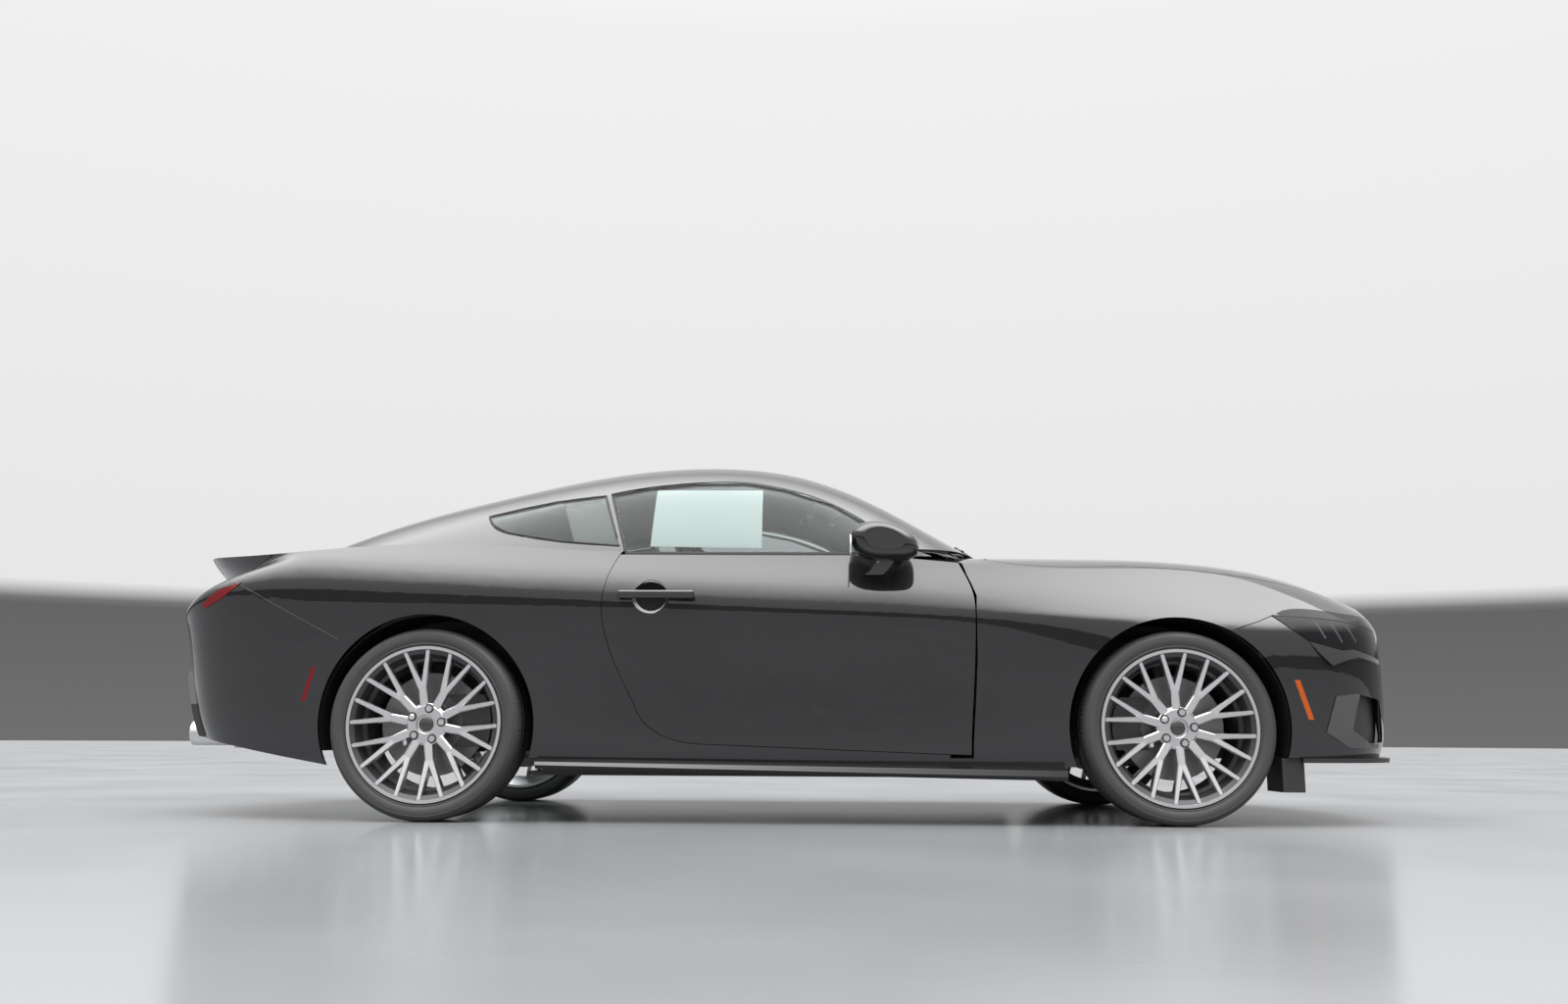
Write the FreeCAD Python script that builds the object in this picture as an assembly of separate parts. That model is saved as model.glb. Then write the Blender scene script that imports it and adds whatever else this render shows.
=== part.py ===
import FreeCAD, Part
import math
import os
from FreeCAD import Vector

# A two-door fastback muscle coupe. X points forward, Y to the car's left, Z up, in millimetres.
# The outlines are measured from a point on the ground near mid-length; each finished piece is then
# moved by SHIFT_X, so that the origin lies on the ground under the middle of the car's overall box.

# Overall sizes
WHEELBASE = 2720
FRONT_AXLE_X = 1470
REAR_AXLE_X = FRONT_AXLE_X - WHEELBASE
SHIFT_X = -45
BODY_BOTTOM_Z = 150

# Wheels and tyres
TYRE_R = 346.5
TYRE_HALF_W = 131
RIM_LIP_R = 281
RIM_SEAT_HALF_W = 116
RIM_HALF_W = 127
HUB_Z = TYRE_R
FRONT_TRACK_Y = 786
REAR_TRACK_Y = 812
SPOKES = 10
FORK_ANGLE = 9
LUGS = 5
LUG_CIRCLE_R = 57.2
FRONT_REST_TURN = -3
REAR_REST_TURN = -8
DISC_R = 188
DISC_T = 30

# Walls and gaps
PANEL_T = 20
LID_T = 24
GLASS_T = 5
FRAME_T = 40
SEAM = 5
FIXED_SEAM = 0.2
DOOR_INNER_Y = 782
DOOR_HEM = 14
ARCH_R = 395
GLASS_END_X = -1790

FRONT_HUB = Vector(FRONT_AXLE_X, -FRONT_TRACK_Y, HUB_Z)
REAR_HUB = Vector(REAR_AXLE_X, -REAR_TRACK_Y, HUB_Z)
OUT = Vector(0, -1, 0)
BEYOND = 1200


def ramp(x, start, end):
    """Rises smoothly from 0 at start to 1 at end."""
    share = min(1.0, max(0.0, (x - start) / (end - start)))
    return share * share * (3 - 2 * share)


def hump(x, middle, width):
    """A smooth hump that is 1 at its middle and 0 from its width on."""
    share = min(1.0, abs(x - middle) / width)
    return (1 - share * share) ** 2


def spline_face(rows, degree_u=3, degree_v=3):
    """A smooth face whose control net is the given rows of points."""
    count_u = len(rows)
    count_v = len(rows[0])
    knots_u = list(range(count_u - degree_u + 1))
    knots_v = list(range(count_v - degree_v + 1))
    mults_u = [degree_u + 1] + [1] * (len(knots_u) - 2) + [degree_u + 1]
    mults_v = [degree_v + 1] + [1] * (len(knots_v) - 2) + [degree_v + 1]
    surface = Part.BSplineSurface()
    surface.buildFromPolesMultsKnots(
        rows, mults_u, mults_v, knots_u, knots_v, False, False, degree_u, degree_v
    )
    return surface.toShape()


def solid_of(faces):
    """One closed solid from the faces that bound it."""
    shell = Part.makeShell(faces)
    shell.sewShape()
    solid = Part.Solid(shell if shell.ShapeType == "Shell" else shell.Shells[0])
    if solid.Volume < 0:
        solid.reverse()
    return solid


def slab(outer, inner):
    """The solid between two control nets of the same size."""
    first = [outer[0], inner[0]]
    last = [outer[-1], inner[-1]]
    low = [[row[0] for row in outer], [row[0] for row in inner]]
    high = [[row[-1] for row in outer], [row[-1] for row in inner]]
    sides = [spline_face(pair, 1, 3) for pair in (first, last, low, high)]
    return solid_of([spline_face(outer), spline_face(inner)] + sides)


def inset(rows, depth):
    """The control net moved by depth along its normals, towards the inside of the body."""
    moved = []
    for i, row in enumerate(rows):
        line = []
        for j, point in enumerate(row):
            along = rows[min(i + 1, len(rows) - 1)][j] - rows[max(i - 1, 0)][j]
            across = row[min(j + 1, len(row) - 1)] - row[max(j - 1, 0)]
            normal = along.cross(across)
            normal.normalize()
            line.append(point + normal * depth)
        moved.append(line)
    return moved


def box(x0, x1, y0, y1, z0, z1):
    """A box between two corners."""
    return Part.makeBox(x1 - x0, y1 - y0, z1 - z0, Vector(x0, y0, z0))


def wire_of(stretches, place):
    """A closed wire through stretches of (a, b) points: two points are a line, more a smooth curve."""
    edges = []
    points = [[place(*point) for point in stretch] for stretch in stretches]
    for index, stretch in enumerate(points):
        following = points[(index + 1) % len(points)][0]
        chain = stretch + ([following] if (following - stretch[-1]).Length > 0.01 else [])
        if len(stretch) == 1:
            edges.append(Part.LineSegment(chain[0], chain[1]).toShape())
            continue
        if len(stretch) == 2:
            edges.append(Part.LineSegment(chain[0], chain[1]).toShape())
        else:
            curve = Part.BSplineCurve()
            curve.interpolate(stretch)
            edges.append(curve.toShape())
        if len(chain) > len(stretch):
            edges.append(Part.LineSegment(chain[-2], chain[-1]).toShape())
    return Part.Wire(edges)


def grown(face, margin):
    """The flat face with its outline moved out by a margin."""
    edges = []
    for edge in face.makeOffset2D(margin).OuterWire.OrderedEdges:
        if edge.Curve.TypeId == "Part::GeomLine":
            edges.append(edge)
            continue
        curve = Part.BSplineCurve()
        curve.interpolate(edge.discretize(9))
        edges.append(curve.toShape())
    return Part.Face(Part.Wire(Part.__sortEdges__(edges)))


def side_prism(stretches, grow=0, y0=-BEYOND, y1=0):
    """The outline (x, z) seen from the side, grown by a margin and extruded across the car."""
    face = Part.Face(wire_of(stretches, lambda x, z: Vector(x, y0, z)))
    if grow:
        face = grown(face, grow)
    return face.extrude(Vector(0, y1 - y0, 0))


def top_prism(stretches, grow=0, z0=0, z1=2000):
    """The outline (x, y) seen from above, grown by a margin and extruded upwards."""
    face = Part.Face(wire_of(stretches, lambda x, y: Vector(x, y, z0)))
    if grow:
        face = grown(face, grow)
    return face.extrude(Vector(0, 0, z1 - z0))


def polygon(points):
    """The stretches of a closed polygon."""
    return [[point] for point in points]


def front_prism(points, x0, x1):
    """The polygon (y, z) seen from the front, extruded along the car."""
    corners = [Vector(x0, y, z) for y, z in points]
    return Part.Face(Part.makePolygon(corners + corners[:1])).extrude(Vector(x1 - x0, 0, 0))


def extruded_side(points, y0, y1):
    """The polygon (x, z) seen from the side, extruded across the car."""
    corners = [Vector(x, y0, z) for x, z in points]
    return Part.Face(Part.makePolygon(corners + corners[:1])).extrude(Vector(0, y1 - y0, 0))


def mirrored(shape):
    """The same thing on the car's other side."""
    return shape.mirror(Vector(0, 0, 0), Vector(0, 1, 0))


def both_sides(shape):
    """A pair of pieces, the right one and its mirror image."""
    return Part.Compound(shape.Solids + mirrored(shape).Solids)


def joined(shapes):
    """One solid from touching shapes."""
    first = shapes[0]
    return first.fuse(list(shapes[1:])) if len(shapes) > 1 else first


def largest(shape):
    """The largest solid of a shape, which drops slivers."""
    return max(shape.Solids, key=lambda solid: solid.Volume)


def turned(points, centre, axis, angle=360):
    """A polygon of points revolved about an axis."""
    face = Part.Face(Part.makePolygon(list(points) + [points[0]]))
    return face.revolve(centre, axis, angle)


def tube(points, radius):
    """A round bar along straight runs with ball corners."""
    pieces = []
    for start, end in zip(points[:-1], points[1:]):
        pieces.append(Part.makeCylinder(radius, (end - start).Length, start, end - start))
    for corner in points[1:-1]:
        pieces.append(Part.makeSphere(radius, corner))
    return joined(pieces)


kept = {}


def keep(name, shape):
    """Files a finished piece under its name."""
    kept[name] = shape


# The sides of the body, from the sill up: half width, height, climb towards the back, rear haunch,
# front haunch, taper towards the nose, the reach and height of the row at the tail and at the nose,
# and how round the tail's corner is in plan.
SIDE_ROWS = (
    (830, 150, 0.00, 0, 0, 0, -2200, 215, 2315, 175, 1.0),
    (889, 185, 0.00, 0, 0, 0, -2255, 262, 2380, 220, 1.0),
    (898, 290, 0.00, 18, 18, 0, -2310, 345, 2405, 305, 1.0),
    (901, 450, 0.01, 36, 30, 0, -2336, 455, 2408, 435, 1.0),
    (912, 620, 0.02, 48, 36, 0, -2358, 580, 2404, 565, 1.0),
    (926, 770, 0.04, 46, 28, 20, -2378, 656, 2402, 655, 1.0),
    (923, 797, 0.04, 46, 22, 28, -2390, 694, 2400, 706, 0.95),
    (904, 867, 0.04, 44, 12, 60, -2310, 738, 2390, 748, 0.9),
    (869, 933, 0.03, 40, 0, 85, -2036, 796, 2340, 800, 0.7),
    (843, 993, 0.02, 30, -10, 108, -2262, 868, 2290, 850, 0.55),
    (812, 1068, 0.0, 30, -20, 135, -2292, 985, 2250, 920, 0.55),
)
SIDE_STATIONS = (-1760, -1560, -1250, -940, -620, -200, 250, 700, 1080, 1470, 1740, 1900)
TAIL_PLAN = ((0, -0.02), (14, 0.27), (58, 0.54), (122, 0.76), (210, 0.90), (380, 0.968))
NOSE_PLAN = ((400, 0.98), (285, 0.945), (190, 0.87), (118, 0.75), (60, 0.55), (14, 0.28), (0, -0.02))


def side_net():
    """The control net of the right side, wrapped round the tail and the nose to the centre line."""
    rows = []
    for half, height, climb, rear, front, taper, tail_x, tail_z, nose_x, nose_z, tail_round in SIDE_ROWS:
        def place(x):
            y = half + rear * hump(x, REAR_AXLE_X, 750) + front * hump(x, FRONT_AXLE_X, 700)
            y -= taper * ramp(x, 650, 1900)
            z = height - climb * x
            return y, z

        first_y, first_z = place(SIDE_STATIONS[0])
        last_y, last_z = place(SIDE_STATIONS[-1])
        row = []
        for index, (setback, share) in enumerate(TAIL_PLAN):
            blend = ramp(index, 1, len(TAIL_PLAN))
            row.append(Vector(tail_x + setback * tail_round, -first_y * share, tail_z + (first_z - tail_z) * blend))
        for x in SIDE_STATIONS:
            y, z = place(x)
            row.append(Vector(x, -y, z))
        for index, (setback, share) in enumerate(NOSE_PLAN):
            blend = ramp(index, -1, len(NOSE_PLAN) - 2)
            row.append(Vector(nose_x - setback, -last_y * share, last_z + (nose_z - last_z) * blend))
        rows.append(row)
    return rows


# The top of the body: heights across the half width at stations along the car.
TOP_WIDTHS = (0, 300, 540, 700, 790, 870, 1000)
TOP_STATIONS = (
    (-2460, 985, 984, 978, 968, 952, 920, 860),
    (-2340, 990, 989, 983, 973, 958, 930, 880),
    (-2180, 994, 993, 988, 979, 966, 944, 900),
    (-1950, 995, 995, 992, 988, 981, 963, 922),
    (-1650, 1004, 1004, 1004, 1007, 1009, 1000, 962),
    (-1350, 1013, 1013, 1013, 1016, 1020, 1018, 988),
    (-1100, 1014, 1014, 1014, 1014, 1016, 1017, 994),
    (-800, 996, 996, 996, 996, 996, 993, 976),
    (-450, 984, 984, 984, 984, 984, 982, 972),
    (0, 982, 982, 982, 982, 982, 980, 970),
    (400, 986, 986, 984, 982, 980, 976, 962),
    (750, 1022, 1018, 1006, 986, 962, 932, 890),
    (1050, 1027, 1022, 1005, 976, 946, 912, 862),
    (1350, 1023, 1018, 1003, 976, 941, 894, 825),
    (1600, 1014, 1008, 990, 962, 922, 866, 790),
    (1850, 988, 981, 960, 926, 878, 815, 725),
    (2080, 936, 927, 899, 848, 790, 725, 640),
    (2290, 838, 829, 800, 742, 680, 620, 550),
    (2460, 730, 722, 696, 645, 590, 540, 480),
)


def top_net():
    """The control net of the top, from one side to the other."""
    rows = []
    for x, *heights in TOP_STATIONS:
        half = [(width, height) for width, height in zip(TOP_WIDTHS, heights)]
        row = [Vector(x, -width, height) for width, height in reversed(half)]
        row += [Vector(x, width, height) for width, height in half[1:]]
        rows.append(row)
    return rows


# The greenhouse: across the half width from below the belt to the roof's centre, at stations.
GLASSHOUSE = (
    (-1900, (860, 880), (800, 905), (740, 915), (690, 922), (640, 926), (500, 932), (300, 936), (0, 938)),
    (-1650, (880, 900), (830, 970), (785, 1003), (738, 1025), (690, 1035), (520, 1074), (300, 1098), (0, 1108)),
    (-1400, (890, 900), (848, 990), (782, 1066), (722, 1109), (665, 1129), (490, 1176), (280, 1206), (0, 1217)),
    (-1150, (890, 900), (855, 990), (772, 1108), (696, 1177), (622, 1204), (450, 1243), (260, 1276), (0, 1288)),
    (-880, (880, 890), (857, 985), (760, 1140), (672, 1242), (580, 1279), (430, 1312), (240, 1347), (0, 1361)),
    (-550, (876, 890), (852, 985), (758, 1155), (672, 1287), (566, 1348), (430, 1375), (240, 1394), (0, 1403)),
    (-200, (875, 890), (850, 985), (757, 1161), (672, 1299), (566, 1369), (430, 1391), (240, 1409), (0, 1417)),
    (80, (875, 890), (850, 985), (760, 1141), (680, 1266), (578, 1336), (430, 1363), (240, 1384), (0, 1394)),
    (300, (875, 890), (850, 985), (772, 1097), (700, 1193), (606, 1256), (440, 1283), (240, 1310), (0, 1322)),
    (500, (875, 890), (850, 975), (785, 1043), (722, 1100), (642, 1147), (460, 1179), (250, 1210), (0, 1224)),
    (700, (875, 880), (850, 948), (805, 978), (745, 1001), (668, 1025), (470, 1062), (250, 1096), (0, 1110)),
    (900, (875, 830), (850, 868), (806, 890), (742, 902), (655, 915), (470, 950), (250, 982), (0, 996)),
)


def glasshouse_net():
    """The control net of the greenhouse, from one side to the other."""
    rows = []
    for x, *points in GLASSHOUSE:
        row = [Vector(x, -y, z) for y, z in points]
        row += [Vector(x, y, z) for y, z in reversed(points[:-1])]
        rows.append(row)
    return rows


# Outlines seen from the side (x, z)
DOOR_OUTLINE = (
    ((670, 996), (709, 913), (742, 820), (746, 747), (740, 526), (726, 247)),
    ((726, 247), (-250, 282)),
    ((-250, 282), (-342, 295), (-424, 331), (-493, 425)),
    ((-493, 425), (-596, 652), (-616, 767), (-606, 858), (-548, 996)),
)
DOOR_GLASS_OUTLINE = (
    ((-541, 974), (-622, 1229)),
    ((-622, 1229), (-480, 1258), (-300, 1278), (-105, 1281), (43, 1254), (227, 1190), (370, 1100), (520, 1003)),
    ((520, 1003), (600, 974)),
)
QUARTER_GLASS_OUTLINE = (
    ((-572, 1010), (-647, 1227)),
    ((-647, 1227), (-840, 1200), (-1092, 1136)),
    ((-1092, 1136), (-1068, 1094), (-1000, 1058)),
    ((-1000, 1058), (-790, 1023), (-572, 1010)),
)
FRONT_SEAM = (
    (1630, 684), (1842, 760), (1870, 772), (2040, 773), (2265, 752), (2268, 1000), (2500, 1000), (2500, 0), (1630, 0)
)
REAR_SEAM = ((-1540, 600), (-1957, 843), (-2020, 872), (-2500, 876), (-2500, 0), (-1540, 0))
HEADLAMP_OUTLINE = (
    ((1842, 760), (1870, 771), (2040, 772), (2150, 765), (2264, 751)),
    ((2264, 751), (2240, 640)),
    ((2240, 640), (2133, 666), (2016, 674), (1942, 696), (1842, 760)),
)
FRONT_MARKER = ((1880, 518), (1900, 518), (1948, 378), (1928, 378))
REAR_MARKER = ((-1712, 428), (-1696, 428), (-1658, 551), (-1674, 551))

# Outlines seen from above (x, y), right half
HOOD_HALF = (
    ((905, 0), (894, -250), (860, -500), (800, -742)),
    ((800, -742), (870, -783), (1300, -778), (1706, -760), (1980, -706), (2180, -612)),
    ((2180, -612), (2280, -480), (2352, -270), (2376, 0)),
)
DECK_HALF = (
    ((-1800, 0), (-1790, -300), (-1750, -600)),
    ((-1750, -600), (-1880, -634), (-2010, -638)),
    ((-2010, -638), (-2110, -520), (-2182, -270), (-2204, 0)),
)
WINDSHIELD_HALF = (
    ((168, 0), (160, -200), (120, -430), (90, -515)),
    ((90, -515), (360, -590), (712, -672)),
    ((712, -672), (785, -500), (838, -250), (850, 0)),
)
REAR_WINDOW_HALF = (
    ((-1786, 0), (-1776, -300), (-1738, -575)),
    ((-1738, -575), (-1300, -545), (-800, -450)),
    ((-800, -450), (-752, -250), (-740, 0)),
)


def full_plan(half):
    """The stretches of an outline and of its mirror image, in one turn."""
    back = [tuple((x, -y) for x, y in reversed(stretch)) for stretch in reversed(half)]
    return tuple(half) + tuple(back)


def whole(half_shape):
    """A piece that crosses the centre line, from its right half."""
    return half_shape.fuse(mirrored(half_shape)).removeSplitter()


# The closed form of the body, and the same form a panel's thickness further in
side_rows = side_net()
top_rows = top_net()


def side_block(rows):
    """The solid between the right side and a plane just past the centre line."""
    plane = [[Vector(p.x, 70, p.z) for p in row] for row in rows]
    return slab(rows, plane)


def top_block(rows):
    """The solid under the top."""
    floor = [[Vector(p.x, p.y, 60) for p in row] for row in rows]
    return slab(rows, floor)


def opened_below(rows):
    """The net with its lowest row let down, so that what is cut by it has no bottom."""
    lowest = [Vector(p.x, p.y, BODY_BOTTOM_Z - 100) for p in rows[0]]
    return [lowest] + list(rows[1:])


right_half = box(-3000, 3000, -BEYOND, 0, 0, 2000)
body = side_block(side_rows).common(top_block(top_rows)).common(right_half)
inner_side = opened_below(inset(side_rows, PANEL_T))
cavity = side_block(inner_side).common(top_block(inset(top_rows, -PANEL_T)))
skin = body.cut(cavity)

glasshouse_rows = glasshouse_net()
glass_skin = slab(glasshouse_rows, inset(glasshouse_rows, -GLASS_T))
frame_skin = slab(glasshouse_rows, inset(glasshouse_rows, -FRAME_T))
under_glasshouse = slab(
    glasshouse_rows, [[Vector(p.x, p.y, 600) for p in row] for row in glasshouse_rows]
)

# What cuts the panels
hood_plan = full_plan(HOOD_HALF)
deck_plan = full_plan(DECK_HALF)
front_arch = Part.makeCylinder(ARCH_R, BEYOND, FRONT_HUB + Vector(0, 800, 0), OUT)
rear_arch = Part.makeCylinder(ARCH_R, BEYOND, REAR_HUB + Vector(0, 800, 0), OUT)
arches = front_arch.fuse(rear_arch)
hood_hole = top_prism(hood_plan, SEAM / 2, 640)
deck_hole = top_prism(deck_plan, SEAM / 2, 944)
door_hole = side_prism(DOOR_OUTLINE, SEAM / 2)
cabin_hole = under_glasshouse.common(box(GLASS_END_X, 860, -BEYOND, BEYOND, 600, 2000))

# Doors
DOOR_HINGE = Vector(662, -872, 0)
HINGE_HEIGHTS = (400, 720)
HINGE_HALF = 36
HINGE_ARM_T = 12
HINGE_ARM_Y = -796
HINGE_EYE_R = 12
HINGE_PIN_R = 8
HINGE_FREE = 0.3
PILLAR_X = 760
DOOR_CORE_X = 642
DOOR_FLANGE_T = 15
BELT_Z = 974


def door_edge_sweep():
    """The space that the door's front edge turns through inside the fender."""
    front = Part.BSplineCurve()
    front.interpolate([Vector(x, 0, z) for x, z in DOOR_OUTLINE[0]])
    profile = [Vector(DOOR_HINGE.x, DOOR_HINGE.y, 235), Vector(DOOR_HINGE.x, DOOR_HINGE.y, 1000)]
    heights = (1000, 900, 820, 740, 600, 450, 300, 235)
    skin_y = (845, 885, 920, 925, 922, 915, 905, 900)
    for z, y in zip(heights, skin_y):
        x = front.value(front.parameter(Vector(720, 0, z))).x
        reach = math.hypot(x - DOOR_HINGE.x, y + DOOR_HINGE.y) + SEAM
        profile.append(Vector(DOOR_HINGE.x + reach, DOOR_HINGE.y, z))
    return turned(profile, DOOR_HINGE, Vector(0, 0, 1))


door_sweep = door_edge_sweep()


def hinge_arm(z):
    """One arm of the pillar's hinge bracket, from the pin inboard and then forward to the pillar."""
    x, y = DOOR_HINGE.x, DOOR_HINGE.y
    eye = Part.makeCylinder(HINGE_EYE_R, HINGE_ARM_T, Vector(x, y, z))
    inboard = box(x - HINGE_EYE_R, x + HINGE_EYE_R, y, HINGE_ARM_Y + 22, z, z + HINGE_ARM_T)
    forward = box(x - HINGE_EYE_R, PILLAR_X + 5, HINGE_ARM_Y, HINGE_ARM_Y + 22, z, z + HINGE_ARM_T)
    return joined([eye, inboard, forward])


def hinge_bracket(z):
    """The pin and the two arms that hold it above and below the door's leaf."""
    pin = Part.makeCylinder(HINGE_PIN_R, 2 * HINGE_HALF, DOOR_HINGE + Vector(0, 0, z - HINGE_HALF))
    return joined([pin, hinge_arm(z - HINGE_HALF), hinge_arm(z + HINGE_HALF - HINGE_ARM_T)])


def hinge_leaf(z):
    """The door's leaf, which turns on the pin between the arms."""
    x, y = DOOR_HINGE.x, DOOR_HINGE.y
    half = HINGE_HALF - HINGE_ARM_T - 2
    eye = Part.makeCylinder(HINGE_EYE_R + 2, 2 * half, Vector(x, y, z - half))
    arm = box(DOOR_CORE_X - 4, x, y - 13, y + 13, z - half, z + half)
    return joined([eye, arm]), Part.makeCylinder(HINGE_PIN_R + HINGE_FREE, 200, Vector(x, y, z - 100))


door_inner = side_block(opened_below(inset(side_rows, DOOR_FLANGE_T)))
door_core = side_prism(DOOR_OUTLINE, -DOOR_HEM).common(box(-3000, DOOR_CORE_X, -BEYOND, -DOOR_INNER_Y, 0, BELT_Z))
door = body.common(side_prism(DOOR_OUTLINE)).common(box(-3000, 3000, -BEYOND, 0, 0, BELT_Z))
door = door.cut(door_inner.cut(door_core))
leaves = [hinge_leaf(z) for z in HINGE_HEIGHTS]
door = largest(door).fuse([leaf for leaf, bore in leaves]).cut([bore for leaf, bore in leaves])
keep("door_right", largest(door))

# Panels of the body side, which end on top of the side skirt
SKIRT_LINE = ((-2460, 246.7), (2460, 189.8))
under_skirt_line = side_prism(polygon(SKIRT_LINE + ((2460, 0), (-2460, 0))), FIXED_SEAM, y1=BEYOND)
fender = skin.common(box(650, 2460, -BEYOND, 0, 150, 1100)).cut(under_skirt_line)
fender = fender.cut([door_hole, door_sweep, hood_hole, arches, side_prism(polygon(FRONT_SEAM), FIXED_SEAM)])
fender = fender.cut([side_prism(HEADLAMP_OUTLINE, FIXED_SEAM), box(600, 3000, -560, 0, 0, 1100)])
keep("front_fender_right", largest(fender))

quarter = skin.common(box(-2460, -200, -BEYOND, 0, 150, 1100)).cut(under_skirt_line)
quarter = quarter.cut([door_hole, deck_hole, arches, side_prism(polygon(REAR_SEAM), FIXED_SEAM), cabin_hole])
keep("quarter_panel_right", largest(quarter))

front_bumper = skin.common(side_prism(polygon(FRONT_SEAM))).cut([hood_hole, arches])
front_bumper = front_bumper.cut(side_prism(HEADLAMP_OUTLINE, FIXED_SEAM))
keep("front_bumper", whole(largest(front_bumper)))

rear_bumper = skin.common(side_prism(polygon(REAR_SEAM))).cut([deck_hole, arches])
keep("rear_bumper", whole(largest(rear_bumper)))

headlamp = skin.common(side_prism(HEADLAMP_OUTLINE)).cut(hood_hole)
keep("headlamps", both_sides(largest(headlamp)))

lid_skin = slab(top_rows, inset(top_rows, -LID_T))
keep("hood", largest(lid_skin.common(top_prism(hood_plan, -SEAM / 2))))
keep("decklid", largest(lid_skin.common(top_prism(deck_plan, -SEAM / 2))))

# Greenhouse
windshield_plan = full_plan(WINDSHIELD_HALF)
rear_window_plan = full_plan(REAR_WINDOW_HALF)
keep("windshield", largest(glass_skin.common(top_prism(windshield_plan, -FIXED_SEAM))))
keep("rear_window", largest(glass_skin.common(top_prism(rear_window_plan, -FIXED_SEAM))))
quarter_glass = glass_skin.common(side_prism(QUARTER_GLASS_OUTLINE, -FIXED_SEAM, y1=-400))
keep("quarter_glasses", both_sides(largest(quarter_glass)))
door_glass = glass_skin.common(side_prism(DOOR_GLASS_OUTLINE, 0, y1=-400))
keep("door_glass_right", largest(door_glass))

frame = frame_skin.cut([top_prism(windshield_plan), top_prism(rear_window_plan)])
frame = frame.cut([side_prism(QUARTER_GLASS_OUTLINE, 0, y1=-400), side_prism(DOOR_GLASS_OUTLINE, SEAM, y1=-400)])
frame = frame.common(box(GLASS_END_X, 860, -BEYOND, 0, 905, 2000))
frame = frame.cut([door_hole, box(-549, 860, -BEYOND, 0, 0, 1003), hood_hole, deck_hole])
roof_plan = box(-3000, 3000, -530, 530, 1100, 2000)
ditch = box(-3000, 3000, -530 - FIXED_SEAM, 530 + FIXED_SEAM, 1100, 2000)
keep("roof", whole(largest(frame.common(roof_plan))))
keep("pillar_frame_right", largest(frame.cut(ditch)))

# The strip of black plastic between windshield and hood
cowl_skin = slab(inset(top_rows, -14), inset(top_rows, -24))
cowl = cowl_skin.common(box(690, 930, -700, 700, 900, 1100))
under_pillars = under_glasshouse.common(box(0, 720, -900, 900, 800, 1500))
cowl = cowl.cut([hood_hole, top_prism(windshield_plan, 12), under_pillars])
neighbours = [kept["front_fender_right"], kept["pillar_frame_right"]]
keep("cowl", largest(cowl.cut(neighbours + [mirrored(piece) for piece in neighbours])))

# Front end
splitter = body.common(box(1885, 2480, -BEYOND, 0, 320, 336))
splitter.translate(Vector(16, 0, 226 - 320))
splitter = splitter.fuse(box(1832, 1910, -880, -700, 122, 242))
keep("splitter", whole(splitter))
bumper_cuts = [box(1600, 2500, -BEYOND, BEYOND, 0, 243)]
UPPER_GRILLE = ((-505, 738), (-548, 650), (-500, 622), (500, 622), (548, 650), (505, 738))
LOWER_GRILLE = ((-520, 450), (-600, 310), (-570, 268), (570, 268), (600, 310), (520, 450))
for opening in (UPPER_GRILLE, LOWER_GRILLE):
    bumper_cuts.append(front_prism(opening, 2050, 2500))
CORNER_INTAKE = ((2128, 470), (2236, 452), (2262, 300), (2176, 296), (2098, 340))
corner_hole = side_prism(polygon(CORNER_INTAKE), y1=-560)
bumper_cuts += [corner_hole, mirrored(corner_hole)]
kept["front_bumper"] = largest(kept["front_bumper"].cut(bumper_cuts))

mesh_skin = body.cut(side_block(opened_below(inset(side_rows, 48))))
mesh_skin = mesh_skin.common(side_block(inset(side_rows, 30)))
slats = []
for opening in (UPPER_GRILLE, LOWER_GRILLE):
    low = min(z for y, z in opening)
    high = max(z for y, z in opening)
    edge = front_prism(opening, 2050, 2500)
    rows = 6
    pitch = (high - low) / rows
    bars = [box(2050, 2500, -700, 0, low + i * pitch - 5, low + i * pitch + 5) for i in range(rows + 1)]
    bars += [box(2050, 2500, -i * 62 - 5, -i * 62 + 5, low, high) for i in range(11)]
    slats.append(whole(mesh_skin.common(edge.common(joined(bars)))))
behind_intake = largest(mesh_skin.common(side_prism(polygon(CORNER_INTAKE), 16, y1=-570)))
slats.append(both_sides(behind_intake))
keep("grilles", Part.Compound([solid for slat in slats for solid in slat.Solids]))

# Tail end
REAR_HEM = ((-1500, 178), (-2500, 361), (-2500, 0), (-1500, 0))
rear_cuts = [side_prism(polygon(REAR_HEM), y1=BEYOND)]
DIFFUSER_HALF = ((0, 0), (-740, 0), (-700, 420), (-640, 530), (-540, 552), (-420, 500), (0, 500))
rear_cuts.append(front_prism(DIFFUSER_HALF, -2500, -2000))
rear_cuts.append(mirrored(rear_cuts[-1]))
TAIL_BARS = [front_prism(((-y, 776), (-y - 60, 776), (-y - 66, 868), (-y - 6, 868)), -2500, -1900)
             for y in (440, 545, 650)]
PLATE_X = -2322
PLATE_Z = 590
PLATE_HOLES_Y = 178
PLATE_HOLES_Z = 120.7
PLATE_HOLE_R = 3.5
rear = kept["rear_bumper"].cut(rear_cuts)
tail_lamp = [largest(skin.common(bar)) for bar in TAIL_BARS]
rear = rear.cut(TAIL_BARS + [mirrored(bar) for bar in TAIL_BARS])
rear = rear.cut([box(-2500, PLATE_X, -165, 165, PLATE_Z - 75, PLATE_Z + 75)])
plate_pad = box(PLATE_X, PLATE_X + 22, -172, 172, PLATE_Z - 82, PLATE_Z + 82)
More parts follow.
